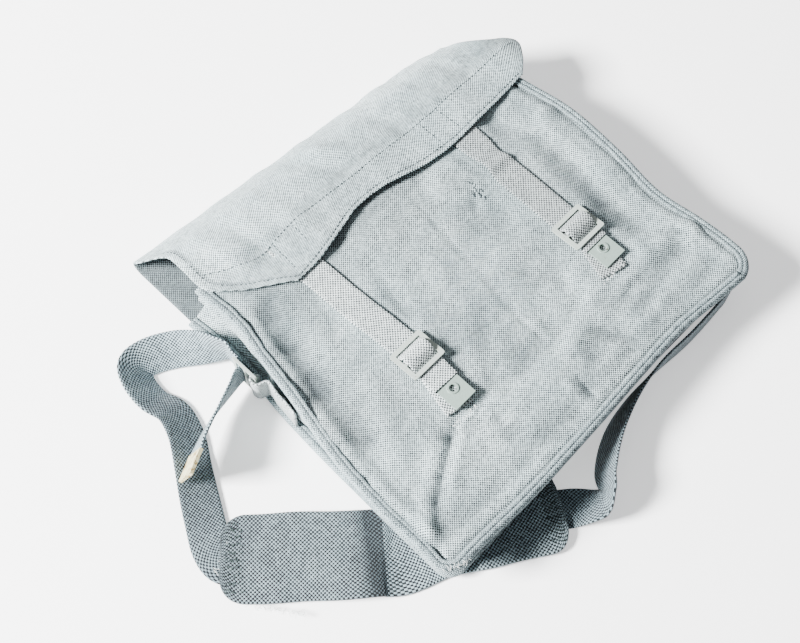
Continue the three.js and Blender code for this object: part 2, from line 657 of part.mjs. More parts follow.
function solidOf(geometry) {
  const position = geometry.attributes.position;
  const seen = new Map();
  const vertProperties = [];
  const triVerts = [];
  for (let i = 0; i < position.count; i += 1) {
    const p = [position.getX(i), position.getY(i), position.getZ(i)].map((v) => Math.round(v * 1e5) / 1e5);
    const key = p.join();
    if (!seen.has(key)) {
      seen.set(key, seen.size);
      vertProperties.push(...p);
    }
    triVerts.push(seen.get(key));
  }
  return new wasm.Manifold(new wasm.Mesh({
    numProp: 3,
    vertProperties: new Float32Array(vertProperties),
    triVerts: new Uint32Array(geometry.index ? geometry.index.array.map((i) => triVerts[i]) : triVerts),
  }));
}

function geometryOf(solid) {
  const mesh = solid.getMesh();
  return closedGeometry([...mesh.vertProperties], [...mesh.triVerts]);
}

// The metal end of a closing strap: a flat plate with a raised eyelet, its hole open right through.
function plateGeometry() {
  const eyeletY = plateLength / 2 - eyeletRim / 2 - gap;
  const half = { x: plateWidth / 2, y: plateLength / 2 };
  const outline = new THREE.Shape([
    new THREE.Vector2(-half.x, -half.y), new THREE.Vector2(half.x, -half.y),
    new THREE.Vector2(half.x, half.y), new THREE.Vector2(-half.x, half.y),
  ]);
  const plate = new THREE.ExtrudeGeometry(outline, { depth: plateThick, bevelEnabled: false });
  plate.translate(0, 0, -plateThick / 2);
  const round = 16;
  const rimHeight = plateThick / 2 + eyeletRaise;
  const rim = new THREE.CylinderGeometry(eyeletRim / 2 - eyeletTaper, eyeletRim / 2, rimHeight, round);
  rim.rotateX(Math.PI / 2).translate(0, eyeletY, rimHeight / 2);
  const hole = new THREE.CylinderGeometry(eyeletHole / 2, eyeletHole / 2, 4 * plateThick, round);
  hole.rotateX(Math.PI / 2).translate(0, eyeletY, 0);
  return geometryOf(solidOf(plate).add(solidOf(rim)).subtract(solidOf(hole)));
}

// One closing: the strap from under the flap, the buckle, the chape sewn to the panel and the metal end.
function addClosing(closing) {
  const centreX = (share) => share * halfWidth;
  const buckleY = middleY + closing.level * bodyHeight / 2;
  const layer = strapPlay * gap + webbing;
  const lowBar = buckleLength / 2 - buckleBar / 2;
  const seat = (x, y) => panelTop(x, y, 1.4 * strapWidth) + 2 * gap + webbing / 2;
  const buckleX = centreX(closing.buckle);
  const base = Math.max(...[-lowBar, 0, lowBar].map((rise) => seat(buckleX, buckleY + rise)));
  const topBarZ = base + layer / 2 + buckleThick / 2 + gap / 2;
  const lowBarZ = base + 1.5 * layer + buckleThick / 2 + gap / 2;
  const barZ = (topBarZ + lowBarZ) / 2;
  const wrap = Math.hypot(buckleThick, buckleCentreBar) / 2 + gap + webbing / 2;
  const over = barZ + wrap + layer;
  const yAt = (rise) => buckleY + rise;
  const topY = mouthY - flapDrop + strapUnderFlap;

  const path = [];
  const lay = (x, y, z) => path.push({ x, y, z, roll: 0 });
  const topX = centreX(closing.top);
  const midY = lerp(topY, buckleY, 0.52);
  for (let k = 0; k <= 3; k += 1) {
    const y = lerp(topY, midY, k / 3);
    const x = lerp(topX, centreX(closing.mid), smoothstep(k / 3, 0, 1));
    lay(x, y, seat(x, y));
  }
  for (let k = 1; k <= 3; k += 1) {
    const y = lerp(midY, yAt(lowBar + buckleBar), k / 3);
    const x = lerp(centreX(closing.mid), buckleX, smoothstep(k / 3, 0, 1));
    lay(x, y, k < 3 ? seat(x, y) : base);
  }
  lay(buckleX, yAt(lowBar - buckleBar / 2 - 0.2), base);
  lay(buckleX, yAt(0.55 * lowBar), lerp(base, over, 0.48));
  lay(buckleX, yAt(0.27 * lowBar), over - 0.12 * webbing);
  lay(buckleX, yAt(-0.20 * lowBar), over);
  lay(buckleX, yAt(-0.50 * lowBar), lerp(base + layer, over, 0.62));
  lay(buckleX, yAt(-lowBar + buckleBar / 2 + 0.2), base + layer);
  const afterBar = lowBar + buckleBar / 2 + 1;
  lay(buckleX, yAt(-afterBar), base + layer);
  const plateTop = buckleY - closing.plateFrom * strapWidth;
  const plateX = centreX(closing.plate);
  const seatUnder = (x, y) => Math.max(seat(x, y), seat(x, y - plateLength)) + layer;
  const plateZ = Math.max(seatUnder(plateX, plateTop), seat(plateX, plateTop - plateLength / 2) + layer);
  lay(lerp(buckleX, plateX, 0.6), lerp(buckleY - afterBar, plateTop, 0.5), lerp(base + layer, plateZ, 0.6));
  lay(plateX, plateTop + 4 * gap, plateZ);
  add(`closing_strap_${closing.name}`, ribbon(path, strapWidth, webbing, 38), paleWebbing);

  const chape = [];
  const chapeLay = (x, y, z) => chape.push({ x, y, z, roll: 0 });
  const chapeY = buckleY - closing.chapeEnd * strapWidth;
  const chapeX = centreX(closing.chape);
  for (let k = 0; k <= 3; k += 1) {
    const y = lerp(chapeY, yAt(-afterBar), k / 3);
    const x = lerp(chapeX, buckleX, k / 3);
    chapeLay(x, y, k < 3 ? seat(x, y) : base);
  }
  chapeLay(buckleX, yAt(-lowBar + buckleBar / 2), base);
  for (let angle = -110; angle <= 110; angle += 36) {
    const turn = THREE.MathUtils.degToRad(angle);
    chapeLay(buckleX, yAt(wrap * Math.cos(turn)), barZ + wrap * Math.sin(turn));
  }
  const chapeWidth = strapWidth - 2 * buckleSidePlay;
  add(`buckle_chape_${closing.name}`, ribbon(chape, chapeWidth, webbing, 26), paleWebbing);

  const frameWidth = strapWidth + 2 * buckleSidePlay + 2 * buckleBar;
  const frame = frameGeometry(frameWidth, buckleLength, buckleBar, buckleCentreBar, buckleThick);
  const tilt = -Math.atan2(lowBarZ - topBarZ, 2 * lowBar);
  frame.rotateX(tilt).translate(buckleX, buckleY, barZ);
  add(`buckle_${closing.name}`, frame, paintedMetal);

  const plate = plateGeometry();
  plate.translate(plateX, plateTop - plateLength / 2, plateZ);
  add(`strap_end_${closing.name}`, plate, agedBrass);
}

// The shoulder strap lies on its lower edge; roll says how far it stands up from the floor.
const routeX = (share) => share * halfWidth;
const routeY = (share) => middleY + share * bodyHeight / 2;
function shoulderRows(route) {
  return route.map(({ x, y, lift, roll }) => {
    const angle = THREE.MathUtils.degToRad(roll);
    const rise = (shoulderWidth / 2) * Math.sin(angle) + (shoulderThick / 2) * Math.cos(angle);
    return { x: routeX(x), y: routeY(y), z: lift * shoulderWidth + rise + floorPlay, roll };
  });
}

function addShoulderStrap() {
  const left = shoulderRows(leftRoute);
  add('shoulder_strap_left', ribbon(left, shoulderWidth, shoulderThick, 64), darkWebbing);
  const right = shoulderRows(rightRoute);
  add('shoulder_strap_right', ribbon(right, shoulderWidth, shoulderThick, 52), darkWebbing);
  const outward = vec(left[0].x - left[1].x, left[0].y - left[1].y, left[0].z - left[1].z).normalize();
  const tipAt = (distance) => {
    const p = vec(left[0].x, left[0].y, left[0].z).addScaledVector(outward, distance);
    return { x: p.x, y: p.y, z: p.z, roll: left[0].roll };
  };
  const tip = [tipAt(gap + tipLength), tipAt(gap + 0.7 * tipLength), tipAt(gap)];
  add('strap_tip', ribbon(tip, shoulderWidth + 2 * gap, tipThick, 3), agedBrass);
}

// The pad: double webbing with rounded ends that cover the two ends of the strap.
function addPad() {
  const rows = padRoute.map(({ x, y, lift, roll }) => (
    { x: routeX(x), y: routeY(y), z: padThick / 2 + lift * shoulderThick + floorPlay, roll }));
  const runs = rows.slice(1).map((row, i) => Math.hypot(row.x - rows[i].x, row.y - rows[i].y));
  const length = runs.reduce((sum, run) => sum + run, 0);
  const steps = 30;
  const sections = ribbonSections(rows, padWidth, padThick, steps).map((section, i) => {
    const fromEnd = Math.min(i, steps - i) * length / steps;
    const open = clamp(fromEnd / padRound, 0, 1);
    const share = lerp(padEndShare, 1, Math.sqrt(1 - (1 - open) * (1 - open)));
    const centre = section.reduce((sum, p) => sum.add(p), vec(0, 0, 0)).multiplyScalar(0.25);
    const middle = section[0].clone().add(section[3]).sub(section[1]).sub(section[2]).multiplyScalar(0.5);
    const side = middle.clone().normalize();
    return section.map((p) => {
      const away = p.clone().sub(centre).dot(side);
      return p.clone().addScaledVector(side, away * (share - 1));
    });
  });
  add('shoulder_pad', sectionBody(sections), darkWebbing);
}

// The left side: a tab sewn to the gusset holds the buckle that the shoulder strap passes through.
function addSideBuckle() {
  const height = shoulderWidth + 2 * buckleSidePlay + 2 * sideBuckleBar;
  const frame = frameGeometry(height, sideBuckleLength, sideBuckleBar, buckleCentreBar, buckleThick);
  const centreY = routeY(sideBuckleAt.y);
  const centreZ = shoulderWidth * sideBuckleAt.lift + shoulderWidth / 2;
  const frameX = backSeam.leftX(centreY - sideBuckleLength / 2) - buckleThick / 2 - 5 * gap;
  frame.rotateY(Math.PI / 2).translate(frameX, centreY, centreZ);
  add('side_buckle', frame, paintedMetal);

  const barY = centreY - sideBuckleLength / 2 + sideBuckleBar / 2;
  const turn = sideBuckleBar / 2 + gap + shoulderThick / 2 + 0.2;
  const row = (x, y) => ({ x, y, z: centreZ, roll: 90 });
  const startY = barY - 2.4 * turn - sideTabLength;
  const rows = [0, 0.33, 0.66, 1].map((t) => {
    const y = startY + t * sideTabLength;
    return row(leftWallReach(y) - shoulderThick / 2, y);
  });
  rows.push(row(frameX - 0.55 * turn, barY - 1.25 * turn));
  rows.push(row(frameX - turn, barY));
  rows.push(row(frameX - 0.72 * turn, barY + 0.85 * turn));
  rows.push(row(frameX + 0.1 * turn, barY + 1.12 * turn));
  rows.push(row(frameX + 0.85 * turn, barY + 0.75 * turn));
  rows.push(row(frameX + 1.1 * turn, barY - 0.2 * turn));
  add('side_tab', ribbon(rows, shoulderWidth, shoulderThick, 26), paleWebbing);
}

addPanels();
add('gusset', sheetGeometry(gusset, cloth), canvas);
addFlap();
closings.forEach(addClosing);
addSideBuckle();
addShoulderStrap();
addPad();
addBinding('front_binding', frontSeam, frontSeamLevel);
addBinding('back_binding', backSeam, backSeamLevel);

export default group;
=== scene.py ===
# Dresses a canvas pannier that lies on its back with its flap buckled down.
# Lengths in the tables and formulas are millimetres; meshes are built in metres.
import math
import random
import bpy
import numpy as np
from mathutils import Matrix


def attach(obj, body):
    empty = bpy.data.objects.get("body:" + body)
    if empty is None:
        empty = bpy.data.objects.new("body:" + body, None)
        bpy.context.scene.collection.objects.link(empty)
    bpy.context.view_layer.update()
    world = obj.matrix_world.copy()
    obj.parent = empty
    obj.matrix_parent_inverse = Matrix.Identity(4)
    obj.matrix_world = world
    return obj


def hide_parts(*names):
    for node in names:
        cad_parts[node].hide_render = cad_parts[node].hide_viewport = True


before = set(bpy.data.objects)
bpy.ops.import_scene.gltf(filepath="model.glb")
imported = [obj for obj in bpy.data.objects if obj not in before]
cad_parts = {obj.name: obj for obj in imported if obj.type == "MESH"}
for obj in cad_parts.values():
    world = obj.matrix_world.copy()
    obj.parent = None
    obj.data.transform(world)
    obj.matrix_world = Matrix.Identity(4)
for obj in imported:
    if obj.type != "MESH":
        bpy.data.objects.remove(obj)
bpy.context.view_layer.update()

MM = 0.001

# Camera at the photograph's angle
CAMERA_AT = (-353.9, -271.7, 1002.3)
CAMERA_RIGHT = (0.6947, -0.7193, 0.0)
CAMERA_UP = (0.6602, 0.6376, 0.3972)
CAMERA_BACK = (-0.2857, -0.2759, 0.9178)
LENS = 58.5

# Bag body
BODY_WIDTH = 368.0
BODY_HEIGHT = 310.0
SEAM_LEVEL = 46.0
BOTTOM_Y = -157.0
CORNER_RADIUS = 19.0
CLOTH = 1.4
TAPE = 1.0
TAPE_WIDTH = 9.0
GAP = 0.3
BODY_CROWN = 3.0
HALF_WIDTH = BODY_WIDTH / 2
HALF_HEIGHT = BODY_HEIGHT / 2
MOUTH_Y = BOTTOM_Y + BODY_HEIGHT
MIDDLE_Y = BOTTOM_Y + HALF_HEIGHT
HALF_CLOTH = CLOTH / 2

# Flap
FLAP_DROP = 53.0
FLAP_REACH = 75.0
FLAP_CLEARANCE = 3.1
EAR_FROM = 1.02
EAR_DROOP = 0.20

# Closing straps
STRAP_WIDTH = 25.4
WEBBING = 1.9
STRAP_PLAY = 1.6
STRAP_UNDER_FLAP = 38.0
BUCKLE_BAR = 3.7
BUCKLE_CENTRE_BAR = 2.4
BUCKLE_THICK = 2.0
BUCKLE_LENGTH = 29.3
BUCKLE_SIDE_PLAY = 0.4
PLATE_LENGTH = 20.0

# Shoulder strap
SHOULDER_WIDTH = 32.0
SHOULDER_THICK = 2.2
PAD_WIDTH = 71.0
PAD_THICK = 3.6
PAD_ROUND = 24.0
PAD_END_SHARE = 0.42
PAD_CLEARANCE = 1.2
FLOOR_PLAY = 0.1
SIDE_BUCKLE_LENGTH = 27.0
SIDE_BUCKLE_BAR = 3.6
SIDE_TAB_LENGTH = 34.0

# Seam outlines: place along the edge, sway outward as a share of width (sides) or height (bottom)
FRONT_LEFT_SWAY = [(0.00, 0.004), (0.10, -0.010), (0.24, -0.011), (0.41, -0.022), (0.61, -0.054),
                   (0.75, -0.073), (0.86, -0.090), (1.00, -0.084)]
FRONT_RIGHT_SWAY = [(0.00, 0.001), (0.10, 0.004), (0.19, 0.000), (0.32, -0.011), (0.48, 0.008),
                    (0.66, 0.017), (0.83, -0.003), (1.00, -0.020)]
FRONT_BOTTOM_SWAY = [(0.00, 0.000), (0.10, -0.003), (0.25, 0.004), (0.47, -0.001), (0.62, -0.009),
                     (0.76, -0.013), (0.88, 0.001), (1.00, 0.014)]
BACK_LEFT_SWAY = [(0.00, -0.020), (0.41, -0.026), (0.61, -0.036), (0.75, -0.048), (0.88, -0.050),
                  (1.00, -0.042)]
BACK_RIGHT_SWAY = [(0.00, -0.028), (0.50, -0.022), (1.00, -0.020)]
BACK_BOTTOM_SWAY = [(0.00, -0.010), (0.35, -0.010), (0.60, -0.026), (1.00, -0.026)]

# Main folds of the front panel: a line in shares of width and height, its width and its rise
PANEL_FOLDS = [
    (0.475, -0.32, 0.27, -0.37, 0.030, -0.15),
    (0.27, -0.37, 0.06, -0.40, 0.028, -0.12),
    (-0.26, -0.25, -0.44, -0.37, 0.026, -0.17),
    (-0.26, -0.25, 0.18, -0.26, 0.035, -0.08),
    (-0.385, 0.40, -0.40, 0.20, 0.036, -0.20),
    (-0.40, 0.20, -0.43, -0.08, 0.034, -0.18),
    (0.40, 0.08, 0.385, -0.20, 0.034, -0.12),
    (0.03, 0.18, 0.02, -0.20, 0.045, -0.06),
    (-0.30, -0.42, 0.38, -0.43, 0.045, 0.07),
]
# Fine creases of the same panel: x, y of both ends in mm, width and rise in mm
PANEL_CREASES = [
    (-96, -80, -162, -117, 9.5, 5.6), (175, -101, 99, -117, 11.0, 3.6), (99, -117, 22, -126, 10.3, 3.2),
    (147, 23, 142, -64, 12.5, 2.2), (11, 54, 7, -64, 16.0, 1.6),
    (-98, -80, -128, -97, 2.2, -1.3), (-128, -97, -146, -109, 2.4, -1.1), (-146, -109, -170, -134, 4.0, -0.8),
    (-92, -86, -124, -106, 5.0, 2.0), (-112, -80, -150, -100, 7.0, 1.8), (-98, -80, -62, -98, 5.0, -1.6),
    (-62, -98, -18, -120, 7.0, -1.2), (-86, -70, -50, -84, 8.0, 1.3),
    (12, -62, 9, -76, 1.8, -0.7), (18, -64, 15, -80, 3.0, 1.0), (4, -118, 1, -138, 2.0, -1.3),
    (-4, -114, -6, -134, 3.0, 0.9), (46, -100, 60, -128, 6.0, -1.2), (62, -98, 84, -128, 6.0, 1.2),
    (24, -96, 70, -80, 9.0, 1.6), (70, -80, 120, -82, 9.0, 1.8), (120, -82, 166, -92, 9.0, 1.4),
    (30, -112, 90, -98, 8.0, -1.5), (90, -98, 150, -104, 8.0, -1.8), (150, -84, 164, -98, 2.4, -1.0),
    (150, 40, 139, -28, 10.0, -1.5), (139, -28, 146, -70, 9.0, -1.2), (167, 60, 160, -50, 8.0, 1.8),
    (124, 10, 122, -60, 8.0, 1.0), (130, 96, 146, 50, 10.0, -2.2), (160, 130, 168, 60, 8.0, 1.4),
    (26, 60, 20, 23, 1.8, -0.9), (20, 23, 13, -29, 1.8, -0.9), (13, -29, 10, -60, 2.4, -0.8),
    (75, 60, 60, 40, 4.0, -1.0), (48, 76, 60, 66, 5.0, 0.8), (-20, -40, -44, -70, 8.0, -1.2),
    (-118, 112, -135, 66, 11.0, -2.6), (-135, 66, -145, 20, 12.0, -2.2), (-145, 20, -148, -36, 11.0, -2.0),
    (-150, 92, -162, 20, 5.5, 1.6), (-162, 20, -170, -50, 5.5, 1.4), (-108, 90, -116, 20, 12.0, 1.8),
    (-112, -10, -136, -60, 12.0, 1.6), (-40, 84, 20, 86, 10.0, 1.2), (40, -20, 62, -52, 10.0, -1.4),
    (70, -60, 98, -96, 9.0, 1.2), (-30, 20, -14, -30, 16.0, -1.6), (30, 30, 48, -10, 14.0, 1.2),
    (-60, -118, -20, -142, 12.0, -1.4), (-170, -70, -172, -120, 9.0, 1.4), (-40, 70, -52, 20, 10.0, -1.4),
    (60, 84, 110, 92, 9.0, 1.3), (40, 66, 62, 44, 6.0, -1.0), (-6, -10, -34, -52, 9.0, 1.2),
]

# Darkened places of the same panel, dirt and painted shade in its hollows and valleys: x, y of both ends in mm, width
# and share of darkening
PANEL_DIRT_AND_SHADE = [
    (-114, 108, -140, 26, 17, 0.52), (-140, 26, -144, -34, 13, 0.34), (-100, 92, -60, 84, 13, 0.20),
    (-40, 104, 40, 108, 15, 0.34), (128, 60, 132, -30, 16, 0.20), (-98, -80, -148, -110, 2.6, 0.26),
    (-86, -96, -120, -118, 12, 0.14), (20, 30, -20, -40, 30, 0.14), (70, 66, 60, 20, 16, 0.22),
    (26, 60, 14, -40, 3.0, 0.20), (12, -62, 9, -76, 2.0, 0.20), (4, -118, 1, -138, 2.4, 0.40),
    (150, -100, 60, -118, 9, 0.16), (46, -100, 60, -128, 5, 0.22), (-50, -128, 150, -136, 7, 0.14),
    (150, -84, 164, -98, 3.0, 0.30), (158, 120, 170, 40, 7, 0.20),
]

GUSSET_FOLDS = [(0.00, 0.10, -0.20), (0.04, 0.15, -0.16), (0.07, 0.12, 0.00), (0.11, 0.12, 0.08),
                (0.17, 0.06, 0.03), (0.26, -0.04, -0.08), (0.36, 0.00, 0.12), (0.43, -0.02, 0.08),
                (0.52, -0.06, -0.02), (0.66, -0.10, -0.10), (0.85, -0.08, -0.06), (1.00, -0.12, -0.14)]
FRONT_LEVEL_SWAY = [(0.00, -0.02), (0.20, 0.00), (0.45, 0.02), (0.70, -0.03), (1.00, 0.00)]

# The two closing straps: x in half widths, level in half heights, lengths in strap widths
CLOSINGS = [
    dict(name="left", top=-0.420, mid=-0.402, buckle=-0.384, plate=-0.389, chape=-0.425, level=-0.096,
         plate_from=1.31, chape_end=2.08, kink=0.0, dirt_and_shade=0.0),
    # The right strap is darkened with dirt and painted shade by its last value.
    dict(name="right", top=0.570, mid=0.562, buckle=0.560, plate=0.560, chape=0.512, level=-0.200,
         plate_from=0.84, chape_end=1.86, kink=1.0, dirt_and_shade=0.42),
]

# The shoulder strap: x in half widths, y in half heights, lift of the lower edge in widths, roll in degrees
LEFT_ROUTE = [
    (-1.315, 0.387, 0.45, 66), (-1.272, 0.413, 0.42, 70), (-1.141, 0.477, 0.33, 74), (-1.010, 0.525, 0.26, 84),
    (-0.952, 0.545, 0.25, 90), (-0.926, 0.548, 0.25, 90), (-0.911, 0.562, 0.25, 90), (-0.904, 0.590, 0.25, 90),
    (-0.903, 0.640, 0.25, 90), (-0.895, 0.695, 0.24, 88), (-0.922, 0.760, 0.16, 74), (-0.965, 0.830, 0.08, 52),
    (-1.050, 0.938, 0.01, 34), (-1.150, 1.003, 0.01, 32), (-1.222, 1.006, 0.01, 36), (-1.258, 0.935, 0.01, 38),
    (-1.272, 0.800, 0.01, 36), (-1.246, 0.680, 0.01, 32), (-1.272, 0.552, 0.01, 30), (-1.359, 0.377, 0.01, 26),
    (-1.484, 0.135, 0.01, 10), (-1.540, 0.010, 0.01, 0), (-1.548, -0.080, 0.01, 0), (-1.500, -0.170, 0.01, 0),
]
RIGHT_ROUTE = [
    (-0.500, -1.010, 0.01, 0), (-0.420, -1.075, 0.01, 0), (-0.345, -1.150, 0.01, 0), (-0.262, -1.240, 0.01, 36),
    (-0.205, -1.228, 0.01, 74), (-0.140, -1.150, 0.01, 66), (0.010, -1.052, 0.01, 66), (0.190, -0.998, 0.01, 76),
    (0.370, -0.984, 0.02, 86), (0.590, -0.998, 0.02, 90), (0.800, -0.992, 0.02, 90), (0.892, -0.980, 0.02, 90),
    (0.950, -0.930, 0.02, 90), (0.970, -0.850, 0.02, 90), (0.978, -0.500, 0.02, 90), (0.990, -0.050, 0.04, 90),
    (1.002, 0.200, 0.14, 90), (1.000, 0.350, 0.22, 90), (0.996, 0.480, 0.25, 90), (0.975, 0.640, 0.25, 90),
]
PAD_ROUTE = [
    (-1.549, -0.058, 1.44, 0), (-1.446, -0.178, 1.40, 0), (-1.266, -0.381, 1.90, 0), (-1.125, -0.545, 2.90, 5),
    (-1.062, -0.606, 1.60, 4), (-1.010, -0.655, 0.10, 0), (-0.842, -0.742, 0.10, 0), (-0.652, -0.890, 0.60, 0),
    (-0.480, -1.026, 1.30, 0), (-0.372, -1.104, 1.36, 0),
]


def curve(table, at):
    """A smooth curve through rows of (key, value), read at one place or many."""
    keys = np.array([row[0] for row in table], float)
    values = np.array([row[1] for row in table], float)
    ahead = np.minimum(np.arange(len(keys)) + 1, len(keys) - 1)
    behind = np.maximum(np.arange(len(keys)) - 1, 0)
    slopes = (values[ahead] - values[behind]) / (keys[ahead] - keys[behind])
    at = np.clip(at, keys[0], keys[-1])
    i = np.clip(np.searchsorted(keys, at, side="right") - 1, 0, len(keys) - 2)
    span = keys[i + 1] - keys[i]
    t = (at - keys[i]) / span
    t2, t3 = t * t, t * t * t
    return ((2 * t3 - 3 * t2 + 1) * values[i] + (t3 - 2 * t2 + t) * span * slopes[i]
            + (3 * t2 - 2 * t3) * values[i + 1] + (t3 - t2) * span * slopes[i + 1])


def curve_weights(count, at):
    """Weights of the rows 0..count-1 for the same smooth curve, one line for each place."""
    return np.array([curve([(k, 1.0 if k == j else 0.0) for k in range(count)], at) for j in range(count)]).T


def smoothstep(x, low, high):
    t = np.clip((x - low) / (high - low), 0.0, 1.0)
    return t * t * (3 - 2 * t)


def lerp(a, b, t):
    return a + (b - a) * t


def wobble(x, y, size, seed):
    """Smooth irregular value from about -1 to 1, made of a few turned waves."""
    picks = random.Random(seed)
    total = np.zeros(np.broadcast(x, y).shape)
    for _ in range(7):
        angle = picks.uniform(0, math.tau)
        pitch = size * picks.uniform(0.7, 1.6)
        phase = picks.uniform(0, math.tau)
        total = total + np.sin((x * math.cos(angle) + y * math.sin(angle)) * math.tau / pitch + phase)
    return total / 3.5


class Seam:
    """The U-shaped seam line: down the left side, along the bottom and up the right side."""

    def __init__(self, left, right, bottom, fine):
        self.left_rows, self.right_rows, self.bottom_rows = left, right, bottom
        side_steps, corner_steps, bottom_steps = 12 * fine, 3 * fine, 14 * fine
        start = BOTTOM_Y + CORNER_RADIUS
        points = []
        for i in range(side_steps + 1):
            y = lerp(MOUTH_Y, start, i / side_steps)
            points.append((self.left_x(y), y))

        def corner(side, angle):
            edge = self.left_x(start) if side < 0 else self.right_x(start)
            cx = edge - side * CORNER_RADIUS
            cy = self.low_y(cx) + CORNER_RADIUS
            drop = (start - cy) * math.cos(angle)
            return (cx + side * CORNER_RADIUS * math.cos(angle), cy + drop - CORNER_RADIUS * math.sin(angle))

        quarter = math.pi / 4
        points += [corner(-1, i / corner_steps * quarter) for i in range(1, corner_steps + 1)]
        self.low_left = len(points) - 1
        points += [corner(-1, (1 + i / corner_steps) * quarter) for i in range(1, corner_steps + 1)]
        first = points[-1][0]
        last = self.right_x(start) - CORNER_RADIUS
        for i in range(1, bottom_steps):
            x = lerp(first, last, i / bottom_steps)
            points.append((x, self.low_y(x)))
        points += [corner(1, (2 - i / corner_steps) * quarter) for i in range(corner_steps + 1)]
        self.low_right = len(points) - 1
        points += [corner(1, (1 - i / corner_steps) * quarter) for i in range(1, corner_steps + 1)]
        for i in range(1, side_steps + 1):
            y = lerp(start, MOUTH_Y, i / side_steps)
            points.append((self.right_x(y), y))
        self.points = np.array(points, float)
        self.count = len(points)
        ahead = np.vstack([self.points[1:], self.points[-1:]])
        behind = np.vstack([self.points[:1], self.points[:-1]])
        step = ahead - behind
        step /= np.linalg.norm(step, axis=1, keepdims=True)
        self.normals = np.stack([step[:, 1], -step[:, 0]], axis=1)
        self.normals[0] = (-1, 0)
        self.normals[-1] = (1, 0)
        lengths = np.linalg.norm(np.diff(self.points, axis=0), axis=1)
        self.along = np.concatenate([[0], np.cumsum(lengths)])

    def left_x(self, y):
        return -HALF_WIDTH - curve(self.left_rows, (y - BOTTOM_Y) / BODY_HEIGHT) * BODY_WIDTH

    def right_x(self, y):
        return HALF_WIDTH + curve(self.right_rows, (y - BOTTOM_Y) / BODY_HEIGHT) * BODY_WIDTH

    def low_y(self, x):
        return BOTTOM_Y - curve(self.bottom_rows, (x + HALF_WIDTH) / BODY_WIDTH) * BODY_HEIGHT

    def inset(self, depth):
        return self.points - self.normals * depth

    def edge_distance(self, x, y):
        side = np.minimum(x - self.left_x(y), self.right_x(y) - x)
        low = y - self.low_y(x)
        rounded = CORNER_RADIUS - np.hypot(CORNER_RADIUS - side, CORNER_RADIUS - low)
        in_corner = (side < CORNER_RADIUS) & (low < CORNER_RADIUS)
        return np.where(in_corner, rounded, np.minimum(side, low))


FINE = 6
front_seam = Seam(FRONT_LEFT_SWAY, FRONT_RIGHT_SWAY, FRONT_BOTTOM_SWAY, FINE)
back_seam = Seam(BACK_LEFT_SWAY, BACK_RIGHT_SWAY, BACK_BOTTOM_SWAY, FINE)

SEAM_PLAY = 0.55
SEAM_INSIDE = 2 * CLOTH + GAP + 2 * SEAM_PLAY
SEAM_THICK = SEAM_INSIDE + 2 * TAPE
PAD_LIFT = PAD_THICK + SHOULDER_THICK + PAD_CLEARANCE


def corner_lift(x, y):
    toward = (x / HALF_WIDTH) * 0.68 + ((y - MIDDLE_Y) / HALF_HEIGHT) * 0.80
    return PAD_LIFT * smoothstep(-toward, 0.30, 0.92)


def back_seam_level(x, y):
    return SEAM_THICK / 2 + corner_lift(x, y)


def front_seam_level(x, y=0.0):
    return SEAM_LEVEL * (1 + curve(FRONT_LEVEL_SWAY, (x + HALF_WIDTH) / BODY_WIDTH))


def line_bump(x, y, ax, ay, bx, by, width):
    dx, dy = bx - ax, by - ay
    px, py = x - ax, y - ay
    t = np.clip((px * dx + py * dy) / (dx * dx + dy * dy), 0, 1)
    away = np.hypot(px - t * dx, py - t * dy) / width
    return np.exp(-away * away)


def panel_relief(x, y):
    inside = front_seam.edge_distance(x, y) - TAPE_WIDTH
    rise = BODY_CROWN * smoothstep(inside, 2 * CLOTH, 0.3 * HALF_WIDTH)
    for x0, y0, x1, y1, width, high in PANEL_FOLDS:
        rise = rise + high * SEAM_LEVEL * line_bump(
            x, y, x0 * BODY_WIDTH, MIDDLE_Y + y0 * BODY_HEIGHT, x1 * BODY_WIDTH, MIDDLE_Y + y1 * BODY_HEIGHT,
            width * BODY_WIDTH)
    return rise * smoothstep(inside, 5 * CLOTH, 0.17 * HALF_WIDTH)


def panel_middle(x, y):
    return front_seam_level(x) + GAP / 2 + HALF_CLOTH + panel_relief(x, y)


# A roll of cloth and a pulled-in line beside the tape, in mm
EDGE_ROLL = 1.1
EDGE_GROOVE = 0.9


def panel_detail(x, y):
    """Creases and soft unevenness that the solids leave out; it fades under the straps and the flap."""
    inside = front_seam.edge_distance(x, y) - TAPE_WIDTH
    rise = 1.3 * wobble(x, y, 52, 3) + 0.42 * wobble(x, y, 19, 4) + 0.12 * wobble(x, y, 8, 5)
    rise = rise + EDGE_ROLL * np.exp(-((inside - 7.0) / 4.5) ** 2) - EDGE_GROOVE * np.exp(-((inside - 0.6) / 1.5) ** 2)
    for ax, ay, bx, by, width, high in PANEL_CREASES:
        rise = rise + 1.25 * high * line_bump(x, y, ax, ay, bx, by, width)
    fade = smoothstep(inside, -1.5, 0.5) * smoothstep(MOUTH_Y - 40 - y, 0.0, 14.0)
    for closing in CLOSINGS:
        cx = closing["buckle"] * HALF_WIDTH
        low = MIDDLE_Y + closing["level"] * HALF_HEIGHT - 62
        under = smoothstep(np.abs(x - cx), 15, 26)
        fade = fade * np.where(y > low, lerp(0.12, 1.0, under), 1.0)
    return rise * fade


# Mesh helpers

